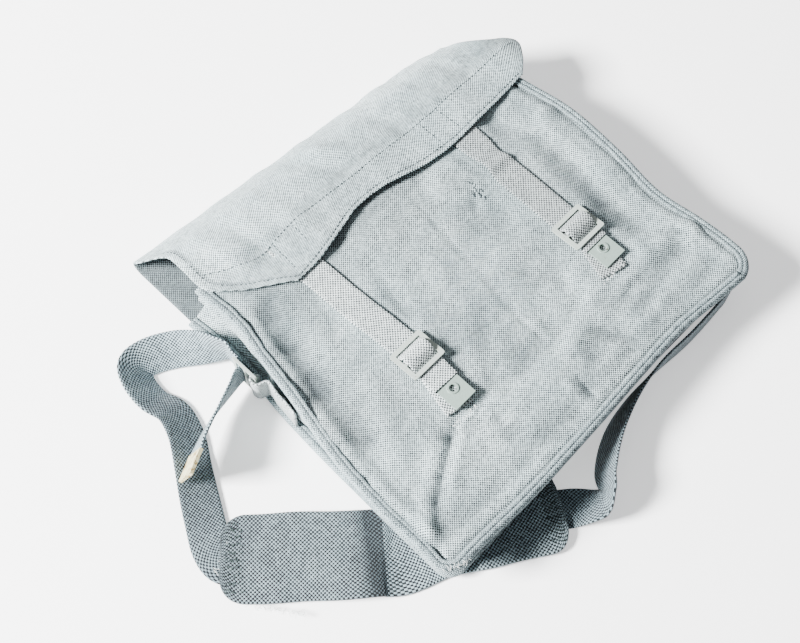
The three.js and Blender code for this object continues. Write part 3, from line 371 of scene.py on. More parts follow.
def make_object(name, points, faces, uvs=None, smooth=True, dirt_and_shade=None):
    """A mesh object from points in mm; uvs are one pair a point, in mm; the darkening value, 0 to 1 a point, stands
    for dirt and for painted shade.
    """
    mesh = bpy.data.meshes.new(name)
    mesh.from_pydata([tuple(p) for p in (np.asarray(points, float) * MM)], [], faces)
    mesh.validate()
    if uvs is not None:
        layer = mesh.uv_layers.new(name="cloth")
        corner_points = np.zeros(len(mesh.loops), np.int32)
        mesh.loops.foreach_get("vertex_index", corner_points)
        layer.data.foreach_set("uv", np.asarray(uvs, float)[corner_points].astype(np.float32).ravel())
    if dirt_and_shade is not None:
        layer = mesh.attributes.new(name="dirt_and_shade", type="FLOAT", domain="POINT")
        layer.data.foreach_set("value", np.clip(np.asarray(dirt_and_shade, float), 0, 1).astype(np.float32).ravel())
    mesh.polygons.foreach_set("use_smooth", [smooth] * len(mesh.polygons))
    mesh.update()
    piece = bpy.data.objects.new(name, mesh)
    bpy.context.scene.collection.objects.link(piece)
    return piece


def face_out(piece):
    """Turns the faces of a closed mesh outward."""
    import bmesh
    work = bmesh.new()
    work.from_mesh(piece.data)
    bmesh.ops.recalc_face_normals(work, faces=work.faces)
    work.to_mesh(piece.data)
    work.free()
    return piece


def grid_normals(grid):
    across = np.empty_like(grid)
    across[:, 1:-1] = grid[:, 2:] - grid[:, :-2]
    across[:, 0] = grid[:, 1] - grid[:, 0]
    across[:, -1] = grid[:, -1] - grid[:, -2]
    along = np.empty_like(grid)
    along[1:-1] = grid[2:] - grid[:-2]
    along[0] = grid[1] - grid[0]
    along[-1] = grid[-1] - grid[-2]
    normal = np.cross(across, along)
    return normal / np.linalg.norm(normal, axis=2, keepdims=True)


def hollows(grid, reach, share):
    """Dirt and painted shade in the hollows: a darkening, from 0 up, where a grid lies lower than its surroundings."""
    height = grid[..., 2]
    around = height
    for _ in range(reach):
        padded = np.pad(around, 1, mode="edge")
        around = (padded[:-2, 1:-1] + padded[2:, 1:-1] + padded[1:-1, :-2] + padded[1:-1, 2:]) / 4
    return np.clip((around - height) * share, 0, 0.7)


def sheet_object(name, grid, thickness, uv, dirt_and_shade=None):
    """A closed sheet of even thickness round a grid of middle points, with a rounded rim."""
    rows, columns = grid.shape[:2]
    normal = grid_normals(grid)
    top = grid + normal * thickness / 2
    under = grid - normal * thickness / 2
    points = np.concatenate([top.reshape(-1, 3), under.reshape(-1, 3)])
    uvs = np.concatenate([uv.reshape(-1, 2), uv.reshape(-1, 2)])
    base = rows * columns
    faces = []
    for r in range(rows - 1):
        for c in range(columns - 1):
            a = r * columns + c
            b, d, e = a + 1, a + columns + 1, a + columns
            faces.append((a, b, d, e))
            faces.append((base + a, base + e, base + d, base + b))
    rim = [c for c in range(columns - 1)]
    rim += [r * columns + columns - 1 for r in range(rows - 1)]
    rim += [(rows - 1) * columns + c for c in range(columns - 1, 0, -1)]
    rim += [r * columns for r in range(rows - 1, 0, -1)]
    middle = []
    flat_grid = grid.reshape(-1, 3)
    centre = []
    for k, a in enumerate(rim):
        r, c = divmod(a, columns)
        inner = np.array([min(max(r, 1), rows - 2), min(max(c, 1), columns - 2)])
        out = grid[r, c] - grid[inner[0], inner[1]]
        out = out - normal[r, c] * (out @ normal[r, c])
        length = np.linalg.norm(out)
        centre.append(flat_grid[a] + out / max(length, 1e-6) * thickness * 0.35)
        middle.append(2 * base + k)
    points = np.concatenate([points, np.array(centre)])
    uvs = np.concatenate([uvs, np.array([uv.reshape(-1, 2)[a] for a in rim])])
    for k, a in enumerate(rim):
        n = (k + 1) % len(rim)
        b = rim[n]
        faces.append((b, a, middle[k], middle[n]))
        faces.append((middle[n], middle[k], base + a, base + b))
    if dirt_and_shade is not None:
        flat_dirt_and_shade = dirt_and_shade.reshape(-1)
        dirt_and_shade = np.concatenate([flat_dirt_and_shade, flat_dirt_and_shade, flat_dirt_and_shade[rim]])
    return face_out(make_object(name, points, faces, uvs, dirt_and_shade=dirt_and_shade))


def ring_object(name, rings, uvs, caps=True, dirt_and_shade=None):
    """A closed body through rings of points, all with the same count."""
    rings = np.asarray(rings, float)
    count, size = rings.shape[:2]
    points = rings.reshape(-1, 3)
    faces = []
    for r in range(count - 1):
        for i in range(size):
            a = r * size + i
            b = r * size + (i + 1) % size
            faces.append((a, b, b + size, a + size))
    if caps:
        faces.append(tuple(range(size - 1, -1, -1)))
        faces.append(tuple((count - 1) * size + i for i in range(size)))
    return face_out(make_object(name, points, faces, np.asarray(uvs, float).reshape(-1, 2), dirt_and_shade=dirt_and_shade))


class Route:
    """A smooth centre line through points, with a roll table along it."""

    def __init__(self, rows):
        self.points = np.array([row[:3] for row in rows], float)
        self.rolls = [(k, row[3]) for k, row in enumerate(rows)]
        self.last = len(rows) - 1
        ends = [2 * self.points[0] - self.points[1], 2 * self.points[-1] - self.points[-2]]
        self.padded = np.vstack([ends[0], self.points, ends[1]])

    def at(self, t):
        place = min(max(t, 0.0), 1.0) * self.last
        i = min(int(place), self.last - 1)
        w = place - i
        p = self.padded[i:i + 4]
        d = [max(np.sum((p[k + 1] - p[k]) ** 2) ** 0.25, 1e-4) for k in range(3)]
        t1 = ((p[1] - p[0]) / d[0] - (p[2] - p[0]) / (d[0] + d[1]) + (p[2] - p[1]) / d[1]) * d[1]
        t2 = ((p[2] - p[1]) / d[1] - (p[3] - p[1]) / (d[1] + d[2]) + (p[3] - p[2]) / d[2]) * d[1]
        return (p[1] + t1 * w + (-3 * p[1] + 3 * p[2] - 2 * t1 - t2) * w * w
                + (2 * p[1] - 2 * p[2] + t1 + t2) * w ** 3)

    def frame_at(self, t):
        """Point, direction along, direction across and direction out of the flat."""
        tangent = self.at(t + 1e-4) - self.at(t - 1e-4)
        tangent /= np.linalg.norm(tangent)
        roll = math.radians(float(curve(self.rolls, t * self.last)))
        level = np.array([tangent[1], -tangent[0], 0.0])
        level /= np.linalg.norm(level)
        up = np.cross(level, tangent)
        up /= np.linalg.norm(up)
        across = level * math.cos(roll) + up * math.sin(roll)
        out = np.cross(across, tangent)
        return self.at(t), tangent, across, out / np.linalg.norm(out)


def webbing_profile(width, thickness, columns):
    """Points round a webbing's section: across and out, with rounded selvedges."""
    half, high = width / 2, thickness / 2
    xs = np.linspace(-half + high * 0.8, half - high * 0.8, columns)
    top = [(x, high) for x in xs[::-1]]
    left = [(-half + 0.25 * high, 0.72 * high), (-half, 0.0), (-half + 0.25 * high, -0.72 * high)]
    under = [(x, -high) for x in xs]
    right = [(half - 0.25 * high, -0.72 * high), (half, 0.0), (half - 0.25 * high, 0.72 * high)]
    return top + left + under + right


def webbing_object(name, rows, width, thickness, steps, columns=9, seed=1, cup=0.0, fray=(0.0, 0.0),
                   wide_at=None, shape=None, dirt_and_shade_at=None):
    """A strip of webbing along a route, with slightly uneven edges; its section is cupped by cup, which every strip
    here leaves at 0.

    shape(t, a) lifts the strip out of its flat at a place across; the darkening function of (t, a) gives it dirt and
    painted shade."""
    route = Route(rows)
    picks = random.Random(seed)
    profile = webbing_profile(width, thickness, columns)
    rings, uvs, dirt_and_shade = [], [], []
    travelled = 0.0
    before = None
    phase = picks.uniform(0, math.tau)
    for i in range(steps + 1):
        t = i / steps
        point, tangent, across, out = route.frame_at(t)
        if before is not None:
            travelled += float(np.linalg.norm(point - before))
        before = point
        share = 1.0 if wide_at is None else wide_at(t)
        ring, ring_uv = [], []
        for a, b in profile:
            side = a / (width / 2)
            uneven = 1 + 0.010 * math.sin(travelled / 9.0 + phase + (2 if a > 0 else 0))
            bend = cup * thickness * (side * side - 0.4)
            if shape is not None:
                bend += shape(t, a * share)
            dirt_and_shade.append(0.0 if dirt_and_shade_at is None else dirt_and_shade_at(t, a))
            end = 0.0
            if i == 0:
                end = -fray[0] * abs(math.sin(a * 1.9 + phase))
            if i == steps:
                end = fray[1] * abs(math.sin(a * 1.9 + phase))
            ring.append(point + across * a * share * uneven + out * (b + bend) + tangent * end)
            ring_uv.append((a + (0 if b >= 0 else 500), travelled))
        rings.append(ring)
        uvs.append(ring_uv)
    return ring_object(name, rings, uvs, dirt_and_shade=dirt_and_shade)


# Materials

def node(tree, kind, **settings):
    made = tree.nodes.new(kind)
    for key, value in settings.items():
        setattr(made, key, value)
    return made


def math_node(tree, operation, a, b=None):
    made = node(tree, "ShaderNodeMath", operation=operation)
    for socket, value in zip(made.inputs, (a, b)):
        if value is None:
            continue
        if isinstance(value, (int, float)):
            socket.default_value = value
        else:
            tree.links.new(value, socket)
    return made.outputs[0]


def ramp(tree, factor, stops):
    made = node(tree, "ShaderNodeValToRGB")
    tree.links.new(factor, made.inputs[0])
    elements = made.color_ramp.elements
    while len(elements) < len(stops):
        elements.new(0.5)
    for element, (place, colour) in zip(elements, stops):
        element.position = place
        element.color = colour if len(colour) == 4 else (*colour, 1.0)
    return made.outputs[0]


def mix_colour(tree, factor, a, b, blend="MIX"):
    made = node(tree, "ShaderNodeMix", data_type="RGBA", blend_type=blend)
    for socket, value in ((made.inputs[0], factor), (made.inputs[6], a), (made.inputs[7], b)):
        if isinstance(value, (int, float)):
            socket.default_value = value
        elif isinstance(value, tuple):
            socket.default_value = (*value[:3], 1.0)
        else:
            tree.links.new(value, socket)
    return made.outputs[2]


def noise_node(tree, where, scale, detail=3.0, roughness=0.55):
    made = node(tree, "ShaderNodeTexNoise")
    made.inputs["Scale"].default_value = scale
    made.inputs["Detail"].default_value = detail
    made.inputs["Roughness"].default_value = roughness
    tree.links.new(where, made.inputs["Vector"])
    return made.outputs["Fac"]


def srgb(code):
    """A linear colour from a six-figure sRGB code."""
    parts = [int(code[i:i + 2], 16) / 255 for i in (0, 2, 4)]
    return tuple(c / 12.92 if c <= 0.04045 else ((c + 0.055) / 1.055) ** 2.4 for c in parts)


def cloth_material(name, light, dark, soil, cell=1.0, pit=0.45, bump=0.7, soil_share=0.35, sheen=0.12,
                   uneven=0.5, gap=0.34):
    """Woven cotton: threads over and under in a checker of cells with painted shade in the pits between them, faded
    and soiled in soft patches, and darkened by a value on the points that stands for dirt and for painted shade.
    """
    made = bpy.data.materials.new(name)
    made.use_nodes = True
    tree = made.node_tree
    shader = tree.nodes["Principled BSDF"]
    uv = node(tree, "ShaderNodeUVMap", uv_map="cloth").outputs[0]
    place = node(tree, "ShaderNodeTexCoord").outputs["Object"]
    blend_mask = node(tree, "ShaderNodeAttribute", attribute_name="dirt_and_shade").outputs["Fac"]
    apart = node(tree, "ShaderNodeSeparateXYZ")
    tree.links.new(uv, apart.inputs[0])
    bend = noise_node(tree, place, 70.0, 2.0)
    offset = math_node(tree, "MULTIPLY", math_node(tree, "SUBTRACT", bend, 0.5), uneven)
    turns = math.pi / cell
    waves = []
    for axis in (0, 1):
        moved = math_node(tree, "ADD", apart.outputs[axis], offset)
        waves.append(math_node(tree, "SINE", math_node(tree, "MULTIPLY", moved, turns)))
    product = math_node(tree, "MULTIPLY", waves[0], waves[1])
    weave = math_node(tree, "ADD", math_node(tree, "MULTIPLY", product, 0.5), 0.5)
    fibre = noise_node(tree, place, 900.0, 2.0)
    slub = noise_node(tree, place, 330.0, 3.0, 0.7)
    patch = noise_node(tree, place, 16.0, 4.0, 0.6)
    stain = noise_node(tree, place, 7.5, 3.0, 0.65)
    mottle = noise_node(tree, place, 55.0, 3.0, 0.6)
    base = mix_colour(tree, ramp(tree, patch, [(0.30, (0, 0, 0)), (0.72, (1, 1, 1))]), dark, light)
    darkening = ramp(tree, stain, [(0.50, (0, 0, 0)), (0.78, (soil_share,) * 3)])
    base = mix_colour(tree, darkening, base, soil)
    uneven_weave = math_node(tree, "ADD", weave, math_node(tree, "MULTIPLY", math_node(tree, "SUBTRACT", slub, 0.5), 0.7))
    # Painted shade: the pits between the threads are darkened nearly to black.
    shade = ramp(tree, uneven_weave, [(gap, (pit, pit * 1.10, pit * 1.20)), (gap + 0.22, (1.0, 1.0, 1.0))])
    base = mix_colour(tree, 1.0, base, shade, "MULTIPLY")
    tone = ramp(tree, mottle, [(0.30, (0.86, 0.87, 0.88)), (0.70, (1.06, 1.06, 1.06))])
    base = mix_colour(tree, 1.0, base, tone, "MULTIPLY")
    # The value on the points darkens the cloth towards this colour, for dirt and for painted shade.
    darkened_base = mix_colour(tree, 1.0, base, (0.20, 0.21, 0.22), "MULTIPLY")
    base = mix_colour(tree, blend_mask, base, darkened_base)
    tree.links.new(base, shader.inputs["Base Color"])
    height = math_node(tree, "ADD", weave, math_node(tree, "MULTIPLY", slub, 0.6))
    height = math_node(tree, "ADD", height, math_node(tree, "MULTIPLY", fibre, 0.25))
    bumped = node(tree, "ShaderNodeBump")
    bumped.inputs["Strength"].default_value = bump
    bumped.inputs["Distance"].default_value = 0.0005
    tree.links.new(height, bumped.inputs["Height"])
    tree.links.new(bumped.outputs[0], shader.inputs["Normal"])
    rough = math_node(tree, "ADD", 0.84, math_node(tree, "MULTIPLY", slub, 0.14))
    tree.links.new(rough, shader.inputs["Roughness"])
    shader.inputs["Sheen Weight"].default_value = sheen
    shader.inputs["Sheen Roughness"].default_value = 0.6
    shader.inputs["Specular IOR Level"].default_value = 0.12
    return made


def metal_material(name, paint, bare, worn_share, metallic=0.9, rough=0.42):
    """Paint over brass: chips and edges worn through, with dull pitting."""
    made = bpy.data.materials.new(name)
    made.use_nodes = True
    tree = made.node_tree
    shader = tree.nodes["Principled BSDF"]
    place = node(tree, "ShaderNodeTexCoord").outputs["Object"]
    chips = noise_node(tree, place, 260.0, 5.0, 0.7)
    tarnish = noise_node(tree, place, 620.0, 3.0, 0.6)
    edge = node(tree, "ShaderNodeNewGeometry").outputs["Pointiness"]
    edge = ramp(tree, edge, [(0.52, (0, 0, 0)), (0.62, (0.6, 0.6, 0.6))])
    chips = math_node(tree, "ADD", chips, math_node(tree, "MULTIPLY", edge, 0.12))
    blend_mask = ramp(tree, chips, [(worn_share, (0, 0, 0)), (worn_share + 0.04, (1, 1, 1))])
    painted = mix_colour(tree, tarnish, paint, tuple(0.72 * c for c in paint))
    metal = mix_colour(tree, tarnish, bare, tuple(0.45 * c for c in bare))
    tree.links.new(mix_colour(tree, blend_mask, painted, metal), shader.inputs["Base Color"])
    tree.links.new(math_node(tree, "MULTIPLY", blend_mask, metallic), shader.inputs["Metallic"])
    tree.links.new(math_node(tree, "ADD", rough, math_node(tree, "MULTIPLY", tarnish, 0.3)),
                   shader.inputs["Roughness"])
    bumped = node(tree, "ShaderNodeBump")
    bumped.inputs["Strength"].default_value = 0.35
    bumped.inputs["Distance"].default_value = 0.0004
    tree.links.new(math_node(tree, "SUBTRACT", tarnish, blend_mask), bumped.inputs["Height"])
    tree.links.new(bumped.outputs[0], shader.inputs["Normal"])
    return made


def plain_thread(name, colour, rough=0.9):
    made = bpy.data.materials.new(name)
    made.use_nodes = True
    tree = made.node_tree
    shader = tree.nodes["Principled BSDF"]
    place = node(tree, "ShaderNodeTexCoord").outputs["Object"]
    tone = noise_node(tree, place, 700.0, 2.0)
    tree.links.new(mix_colour(tree, tone, colour, tuple(0.62 * c for c in colour)), shader.inputs["Base Color"])
    shader.inputs["Roughness"].default_value = rough
    return made


canvas = cloth_material("canvas_weave", srgb("D6E6E7"), srgb("B2C6C9"), srgb("8DA1A5"), cell=1.2, pit=0.03,
                        bump=1.0, gap=0.37)
edging = cloth_material("edging_tape", srgb("C9DDE0"), srgb("A9BDC1"), srgb("7F9398"), cell=1.15, pit=0.05, bump=1.0,
                        gap=0.38)
pale = cloth_material("pale_webbing", srgb("DCE4E2"), srgb("BFC9C9"), srgb("98A1A0"), cell=1.45, pit=0.06, bump=1.0,
                      gap=0.36)
strap = cloth_material("shoulder_webbing", srgb("AFC4CB"), srgb("90A4AC"), srgb("687A82"), cell=1.5, pit=0.03,
                       bump=1.0, gap=0.42)
pad_cloth = cloth_material("pad_webbing", srgb("A9BDC3"), srgb("889AA1"), srgb("5F7075"), cell=1.6, pit=0.02,
                           bump=1.0, gap=0.44)
painted = metal_material("painted_brass", srgb("A3ADA6"), srgb("8E7D4A"), 0.70)
end_metal = metal_material("worn_end_metal", srgb("86978F"), srgb("6B6440"), 0.66)
brass = metal_material("worn_brass", srgb("CBC39A"), srgb("A98A4C"), 0.60, metallic=0.7)
# Painted shade: the stitch thread is made dark so that it also stands for the shade in the stitch holes.
thread_and_hole_shade = plain_thread("thread_and_hole_shade", srgb("333C40"))
pale_thread = plain_thread("pale_thread", srgb("DFE6E4"))
pad_thread = plain_thread("pad_thread", srgb("3E4C4A"))


def dress(piece, material, slot, *nodes):
    """Gives a piece its material and its body, and hides the nodes that it stands for; its slot is not used."""
    piece.data.materials.clear()
    piece.data.materials.append(material)
    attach(piece, "root")
    if nodes:
        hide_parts(*nodes)
    return piece


# Bag body

def patch_grid(seam, depth, rows, columns, height_at):
    """A patch stretched between its left, bottom, right and mouth edges."""
    edge = seam.inset(depth)

    def pick(first, last, t):
        place = first + (last - first) * np.asarray(t, float)
        i = np.clip(place.astype(int), 0, seam.count - 2)
        w = (place - i)[..., None]
        return edge[i] * (1 - w) + edge[i + 1] * w

    v = np.linspace(0, 1, rows + 1)
    u = np.linspace(0, 1, columns + 1)
    left = pick(0, seam.low_left, 1 - v)[:, None]
    right = pick(seam.low_right, seam.count - 1, v)[:, None]
    bottom = pick(seam.low_left, seam.low_right, u)[None]
    mouth = (edge[0] * (1 - u)[:, None] + edge[-1] * u[:, None])[None]
    uu, vv = u[None, :, None], v[:, None, None]
    sides = left * (1 - uu) + right * uu
    ends = bottom * (1 - vv) + mouth * vv
    low_corners = bottom[:, :1] * (1 - uu) + bottom[:, -1:] * uu
    corners = low_corners * (1 - vv) + mouth * vv
    xy = sides + ends - corners
    z = height_at(xy[..., 0], xy[..., 1])
    return np.dstack([xy, z])


def build_panels():
    depth = TAPE + 3 * GAP
    front = patch_grid(front_seam, depth, 150, 176, panel_middle)
    front[..., 2] += panel_detail(front[..., 0], front[..., 1])
    inside = front_seam.edge_distance(front[..., 0], front[..., 1]) - TAPE_WIDTH
    # Painted shade: the cloth is darkened in its hollows and in a line beside the tape; the wobble adds uneven soil,
    # and the listed places add dirt and painted shade.
    dirt_and_shade = hollows(front, 22, 0.20) + 0.45 * np.exp(-((inside - 0.4) / 1.6) ** 2)
    dirt_and_shade += 0.13 * (1 + wobble(front[..., 0], front[..., 1], 90, 91)) * smoothstep(inside, 4, 20)
    for ax, ay, bx, by, width, share in PANEL_DIRT_AND_SHADE:
        dirt_and_shade += share * line_bump(front[..., 0], front[..., 1], ax, ay, bx, by, width)
    piece = sheet_object("front_cloth", front, CLOTH, front[..., :2].copy(), dirt_and_shade)
    dress(piece, canvas, "canvas", "front_panel")

    def back_middle(x, y):
        raised = back_seam_level(x, y) - GAP / 2 - HALF_CLOTH
        inner = smoothstep(back_seam.edge_distance(x, y) - TAPE_WIDTH, CLOTH, 0.2 * HALF_WIDTH)
        return lerp(raised, HALF_CLOTH + corner_lift(x, y), inner)

    back = patch_grid(back_seam, depth, 70, 84, back_middle)
    inside = back_seam.edge_distance(back[..., 0], back[..., 1])
    back[..., 2] += 0.5 * (1 + wobble(back[..., 0], back[..., 1], 60, 8)) * smoothstep(inside, 14, 40)
    piece = sheet_object("back_cloth", back, CLOTH, back[..., :2].copy())
    dress(piece, canvas, "canvas", "back_panel")


def gusset_rows():
    """Middle lines of the side wall, from the front seam down to the back seam."""
    at = np.arange(front_seam.count) / (front_seam.count - 1)
    high = curve([(row[0], row[1]) for row in GUSSET_FOLDS], at) * SEAM_LEVEL
    low = curve([(row[0], row[2]) for row in GUSSET_FOLDS], at) * SEAM_LEVEL
    flange = TAPE + 2 * GAP
    turn = TAPE_WIDTH + 3 * GAP + HALF_CLOTH
    bend = 0.6 * CLOTH

    def line(share, depth, rise):
        a = front_seam.points - front_seam.normals * np.reshape(depth, (-1, 1))
        b = back_seam.points - back_seam.normals * np.reshape(depth, (-1, 1))
        head = front_seam_level(a[:, 0]) - GAP / 2 - HALF_CLOTH
        foot = back_seam_level(b[:, 0], b[:, 1]) + GAP / 2 + HALF_CLOTH
        return np.stack([lerp(b[:, 0], a[:, 0], share), lerp(b[:, 1], a[:, 1], share),
                         lerp(foot, head, share) + rise], axis=1)

    even = np.ones(front_seam.count)
    return [
        line(1, flange * even, 0), line(1, (turn - bend / 2) * even, 0), line(1, (turn + bend) * even, -2 * bend),
        line(0.70, turn - high, 0), line(0.48, turn - (high + low) / 2, 0), line(0.26, turn - low, 0),
        line(0, (turn + bend / 2) * even, 2 * bend), line(0, (turn - bend / 2) * even, 0),
        line(0, flange * even, 0),
    ]


GUSSET_LINES = gusset_rows()


def build_gusset():
    control = np.array(GUSSET_LINES)
    steps = 34
    places = np.linspace(0, len(control) - 1, steps + 1)
    weights = curve_weights(len(control), places)
    linear = np.array([np.maximum(0, 1 - np.abs(places - k)) for k in range(len(control))]).T
    soft = np.clip(np.minimum(places - 2, 6 - places), 0, 1)[:, None]
    weights = linear * (1 - soft) + weights * soft
    grid = np.einsum("sk,knd->nsd", weights, control)
    share = np.linspace(0, 1, steps + 1)[None]
    along = front_seam.along[:, None]
    lines = np.clip(np.minimum(places - 2.2, 5.8 - places), 0, 1)[None]
    normal = grid_normals(grid)
    crumple = 1.2 * wobble(along, share * 60, 38, 21) + 0.5 * wobble(along, share * 60, 15, 22)
    grid = grid + normal * (crumple * lines)[..., None]
    spans = np.linalg.norm(np.diff(grid, axis=1), axis=2)
    down = np.concatenate([np.zeros((grid.shape[0], 1)), np.cumsum(spans, axis=1)], axis=1)
    uv = np.dstack([np.broadcast_to(along, down.shape), down])
    # Painted shade: the side wall is darkened a little all round and much more along the bottom, which faces away from
    # the key light.
    bottom = smoothstep(-front_seam.normals[:, 1], 0.3, 0.8)[:, None]
    dirt_and_shade = (0.12 + 0.58 * bottom) * np.ones(down.shape)
    piece = sheet_object("gusset_cloth", grid, CLOTH, uv, dirt_and_shade)
    dress(piece, canvas, "canvas", "gusset")


def build_binding(name, node_name, seam, level_at, seed):
    """Tape folded over a seam, a little uneven, with its edge turned softly."""
    inner, outer = SEAM_INSIDE / 2, SEAM_THICK / 2
    profile = [
        (TAPE_WIDTH, outer - 0.5), (TAPE_WIDTH - 0.5, outer), (7.4, outer + 0.35), (6.2, outer + 0.30),
        (5.3, outer - 0.35), (4.5, outer + 0.25), (3.0, outer + 0.40), (1.6, outer + 0.05),
        (0.4, 0.72 * outer), (0.0, 0.30 * outer), (0.0, -0.30 * outer), (0.4, -0.72 * outer),
        (1.4, -outer), (4.0, -outer - 0.05), (TAPE_WIDTH, -outer), (TAPE_WIDTH, -inner), (TAPE, -inner),
        (TAPE, inner), (TAPE_WIDTH, inner),
    ]
    rough_depth = 0.35 * wobble(seam.along, 0 * seam.along, 14, seed)
    rings, uvs = [], []
    for i in range(seam.count):
        ring, ring_uv = [], []
        travelled = 0.0
        for k, (depth, up) in enumerate(profile):
            edge = rough_depth[i] if depth >= 6 and abs(up) > inner + 0.1 else 0.0
            x, y = seam.points[i] - seam.normals[i] * (depth + edge)
            pucker = 0.16 * math.sin(seam.along[i] * math.tau / 3.1) if 1 < depth < 8 and up > inner + 0.1 else 0
            below = max(-seam.normals[i][1], 0.0) if up > inner + 0.1 else 0.0
            droop = 0.9 * below * max(1 - depth / TAPE_WIDTH, 0)
            ring.append((x, y, float(level_at(x, y)) + up + pucker - droop))
            travelled += 1.6
            ring_uv.append((travelled, seam.along[i]))
        rings.append(ring)
        uvs.append(ring_uv)
    # Painted shade: a dark line at the tape's edge on the panel and in its groove, and the part near the rim darker
    # along the bottom side; elsewhere a light even darkening.
    dirt_and_shade = [0.85 if depth >= TAPE_WIDTH - 0.2 else 1.0 if abs(depth - 5.3) < 0.1 else
            0.10 + 0.45 * max(-seam.normals[i][1], 0.0) * (depth < 4)
            for i in range(seam.count) for depth, _up in profile]
    piece = ring_object(name, rings, uvs, dirt_and_shade=dirt_and_shade)
    dress(piece, edging, "edging", node_name)


# Flap

# Sections of the flap: where, lean, share of the height, and both side edges in half widths
FLAP_SECTIONS = [
    ("lap", 0.00, 0.00, -0.89, 0.97), ("lap", 0.45, 0.00, -0.89, 0.97), ("fold", -0.20, 0.00, -0.89, 0.97),
    ("fold", -0.06, 0.03, -0.89, 0.97), ("fold", 0.00, 0.14, -0.89, 0.96), ("fold", -0.04, 0.31, -0.89, 0.94),
    ("fold", -0.16, 0.52, -0.89, 0.91), ("fold", -0.38, 0.75, -0.80, 0.89), ("fold", -0.70, 0.94, -0.80, 0.93),
    ("front", 0.10, 1.00, -0.80, 1.02), ("front", 0.40, 1.00, -0.725, 1.14), ("front", 0.72, 1.00, -0.60, 1.09),
    ("front", 1.00, 1.00, -0.49, 1.00),
]
FLAP_FOLD = [(-1.20, 1.05), (-1.00, 1.00), (-0.10, 0.77), (0.76, 0.55), (0.94, 0.43), (1.06, 0.34), (1.20, 0.27)]
FLAP_EDGE_SWAY = [(-0.50, -0.066), (-0.34, -0.032), (-0.15, 0.117), (-0.05, 0.183), (0.09, 0.158), (0.22, 0.051),
                  (0.35, -0.057), (0.50, -0.104), (0.75, -0.064), (1.00, 0.000)]
FLAP_END = MOUTH_Y - FLAP_DROP


def flap_place(x, section):
    """Y and Z of the flap's middle surface at x, for one of its sections."""
    reach, lean, share = section[:3]
    out = FLAP_REACH * curve(FLAP_FOLD, x / HALF_WIDTH)
    if reach == "lap":
        y = lerp(MOUTH_Y + GAP, MOUTH_Y + out, lean)
    elif reach == "fold":
        y = MOUTH_Y + out + lean * out
    else:
        y = lerp(MOUTH_Y, FLAP_END, lean) + lean * FLAP_DROP * curve(FLAP_EDGE_SWAY, x / HALF_WIDTH)
    rest_y = np.minimum(y, MOUTH_Y - 0.03 * BODY_HEIGHT)
    rest = panel_middle(np.clip(x, -0.86 * HALF_WIDTH, 0.93 * HALF_WIDTH), rest_y) + FLAP_CLEARANCE + WEBBING
    return y, lerp(HALF_CLOTH, rest, share)


def flap_grid(rows, columns):
    last = len(FLAP_SECTIONS) - 1
    t = np.linspace(0, last, rows + 1)
    weights = curve_weights(last + 1, t)
    left = weights @ np.array([row[3] for row in FLAP_SECTIONS]) * HALF_WIDTH
    right = weights @ np.array([row[4] for row in FLAP_SECTIONS]) * HALF_WIDTH
    u = np.linspace(0, 1, columns + 1)
    x = left[:, None] * (1 - u) + right[:, None] * u
    y = np.zeros_like(x)
    z = np.zeros_like(x)
    for k, section in enumerate(FLAP_SECTIONS):
        yk, zk = flap_place(x, section)
        y += weights[:, k:k + 1] * yk
        z += weights[:, k:k + 1] * zk
    z = np.maximum(z, HALF_CLOTH)
    ear_reach = max(row[4] for row in FLAP_SECTIONS) - EAR_FROM
    beyond = np.maximum(x / HALF_WIDTH - EAR_FROM, 0) / ear_reach
    z -= EAR_DROOP * SEAM_LEVEL * beyond * beyond * smoothstep(z / SEAM_LEVEL, 0.5, 1)
    return np.dstack([x, y, z]), t


def grid_lengths(grid):
    spans = np.linalg.norm(np.diff(grid, axis=0), axis=2)
    return np.concatenate([np.zeros((1, grid.shape[1])), np.cumsum(spans, axis=0)], axis=0)


# Creases of the flap: x and distance along the cloth of both ends, width and rise, in mm
FLAP_CREASES = [
    (-120, 130, -112, 190, 9, 1.6), (-96, 136, -90, 196, 8, -1.5), (-60, 120, -52, 180, 9, 1.3),
    (-10, 118, 10, 160, 8, -1.4), (8, 116, 30, 150, 7, 1.3), (60, 112, 72, 160, 9, -1.2),
    (100, 110, 112, 150, 8, 1.2), (140, 104, 150, 150, 8, -1.4), (-140, 150, -100, 168, 8, 1.4),
]

FLAP, FLAP_T = flap_grid(150, 150)
FLAP_DOWN = grid_lengths(FLAP)


def flap_detail(x, down, t):
    """Soft waves on the top of the flap; none where it lies on the floor."""
    upper = smoothstep(t, 4.0, 6.0)
    rise = 1.3 * wobble(x * 1.6, down * 0.4, 60, 31) + 0.25 * wobble(x * 1.5, down * 0.6, 24, 32)
    for ax, ay, bx, by, width, high in FLAP_CREASES:
        rise = rise + 1.5 * high * line_bump(x, down, ax, ay, bx, by, width)
    return upper * rise


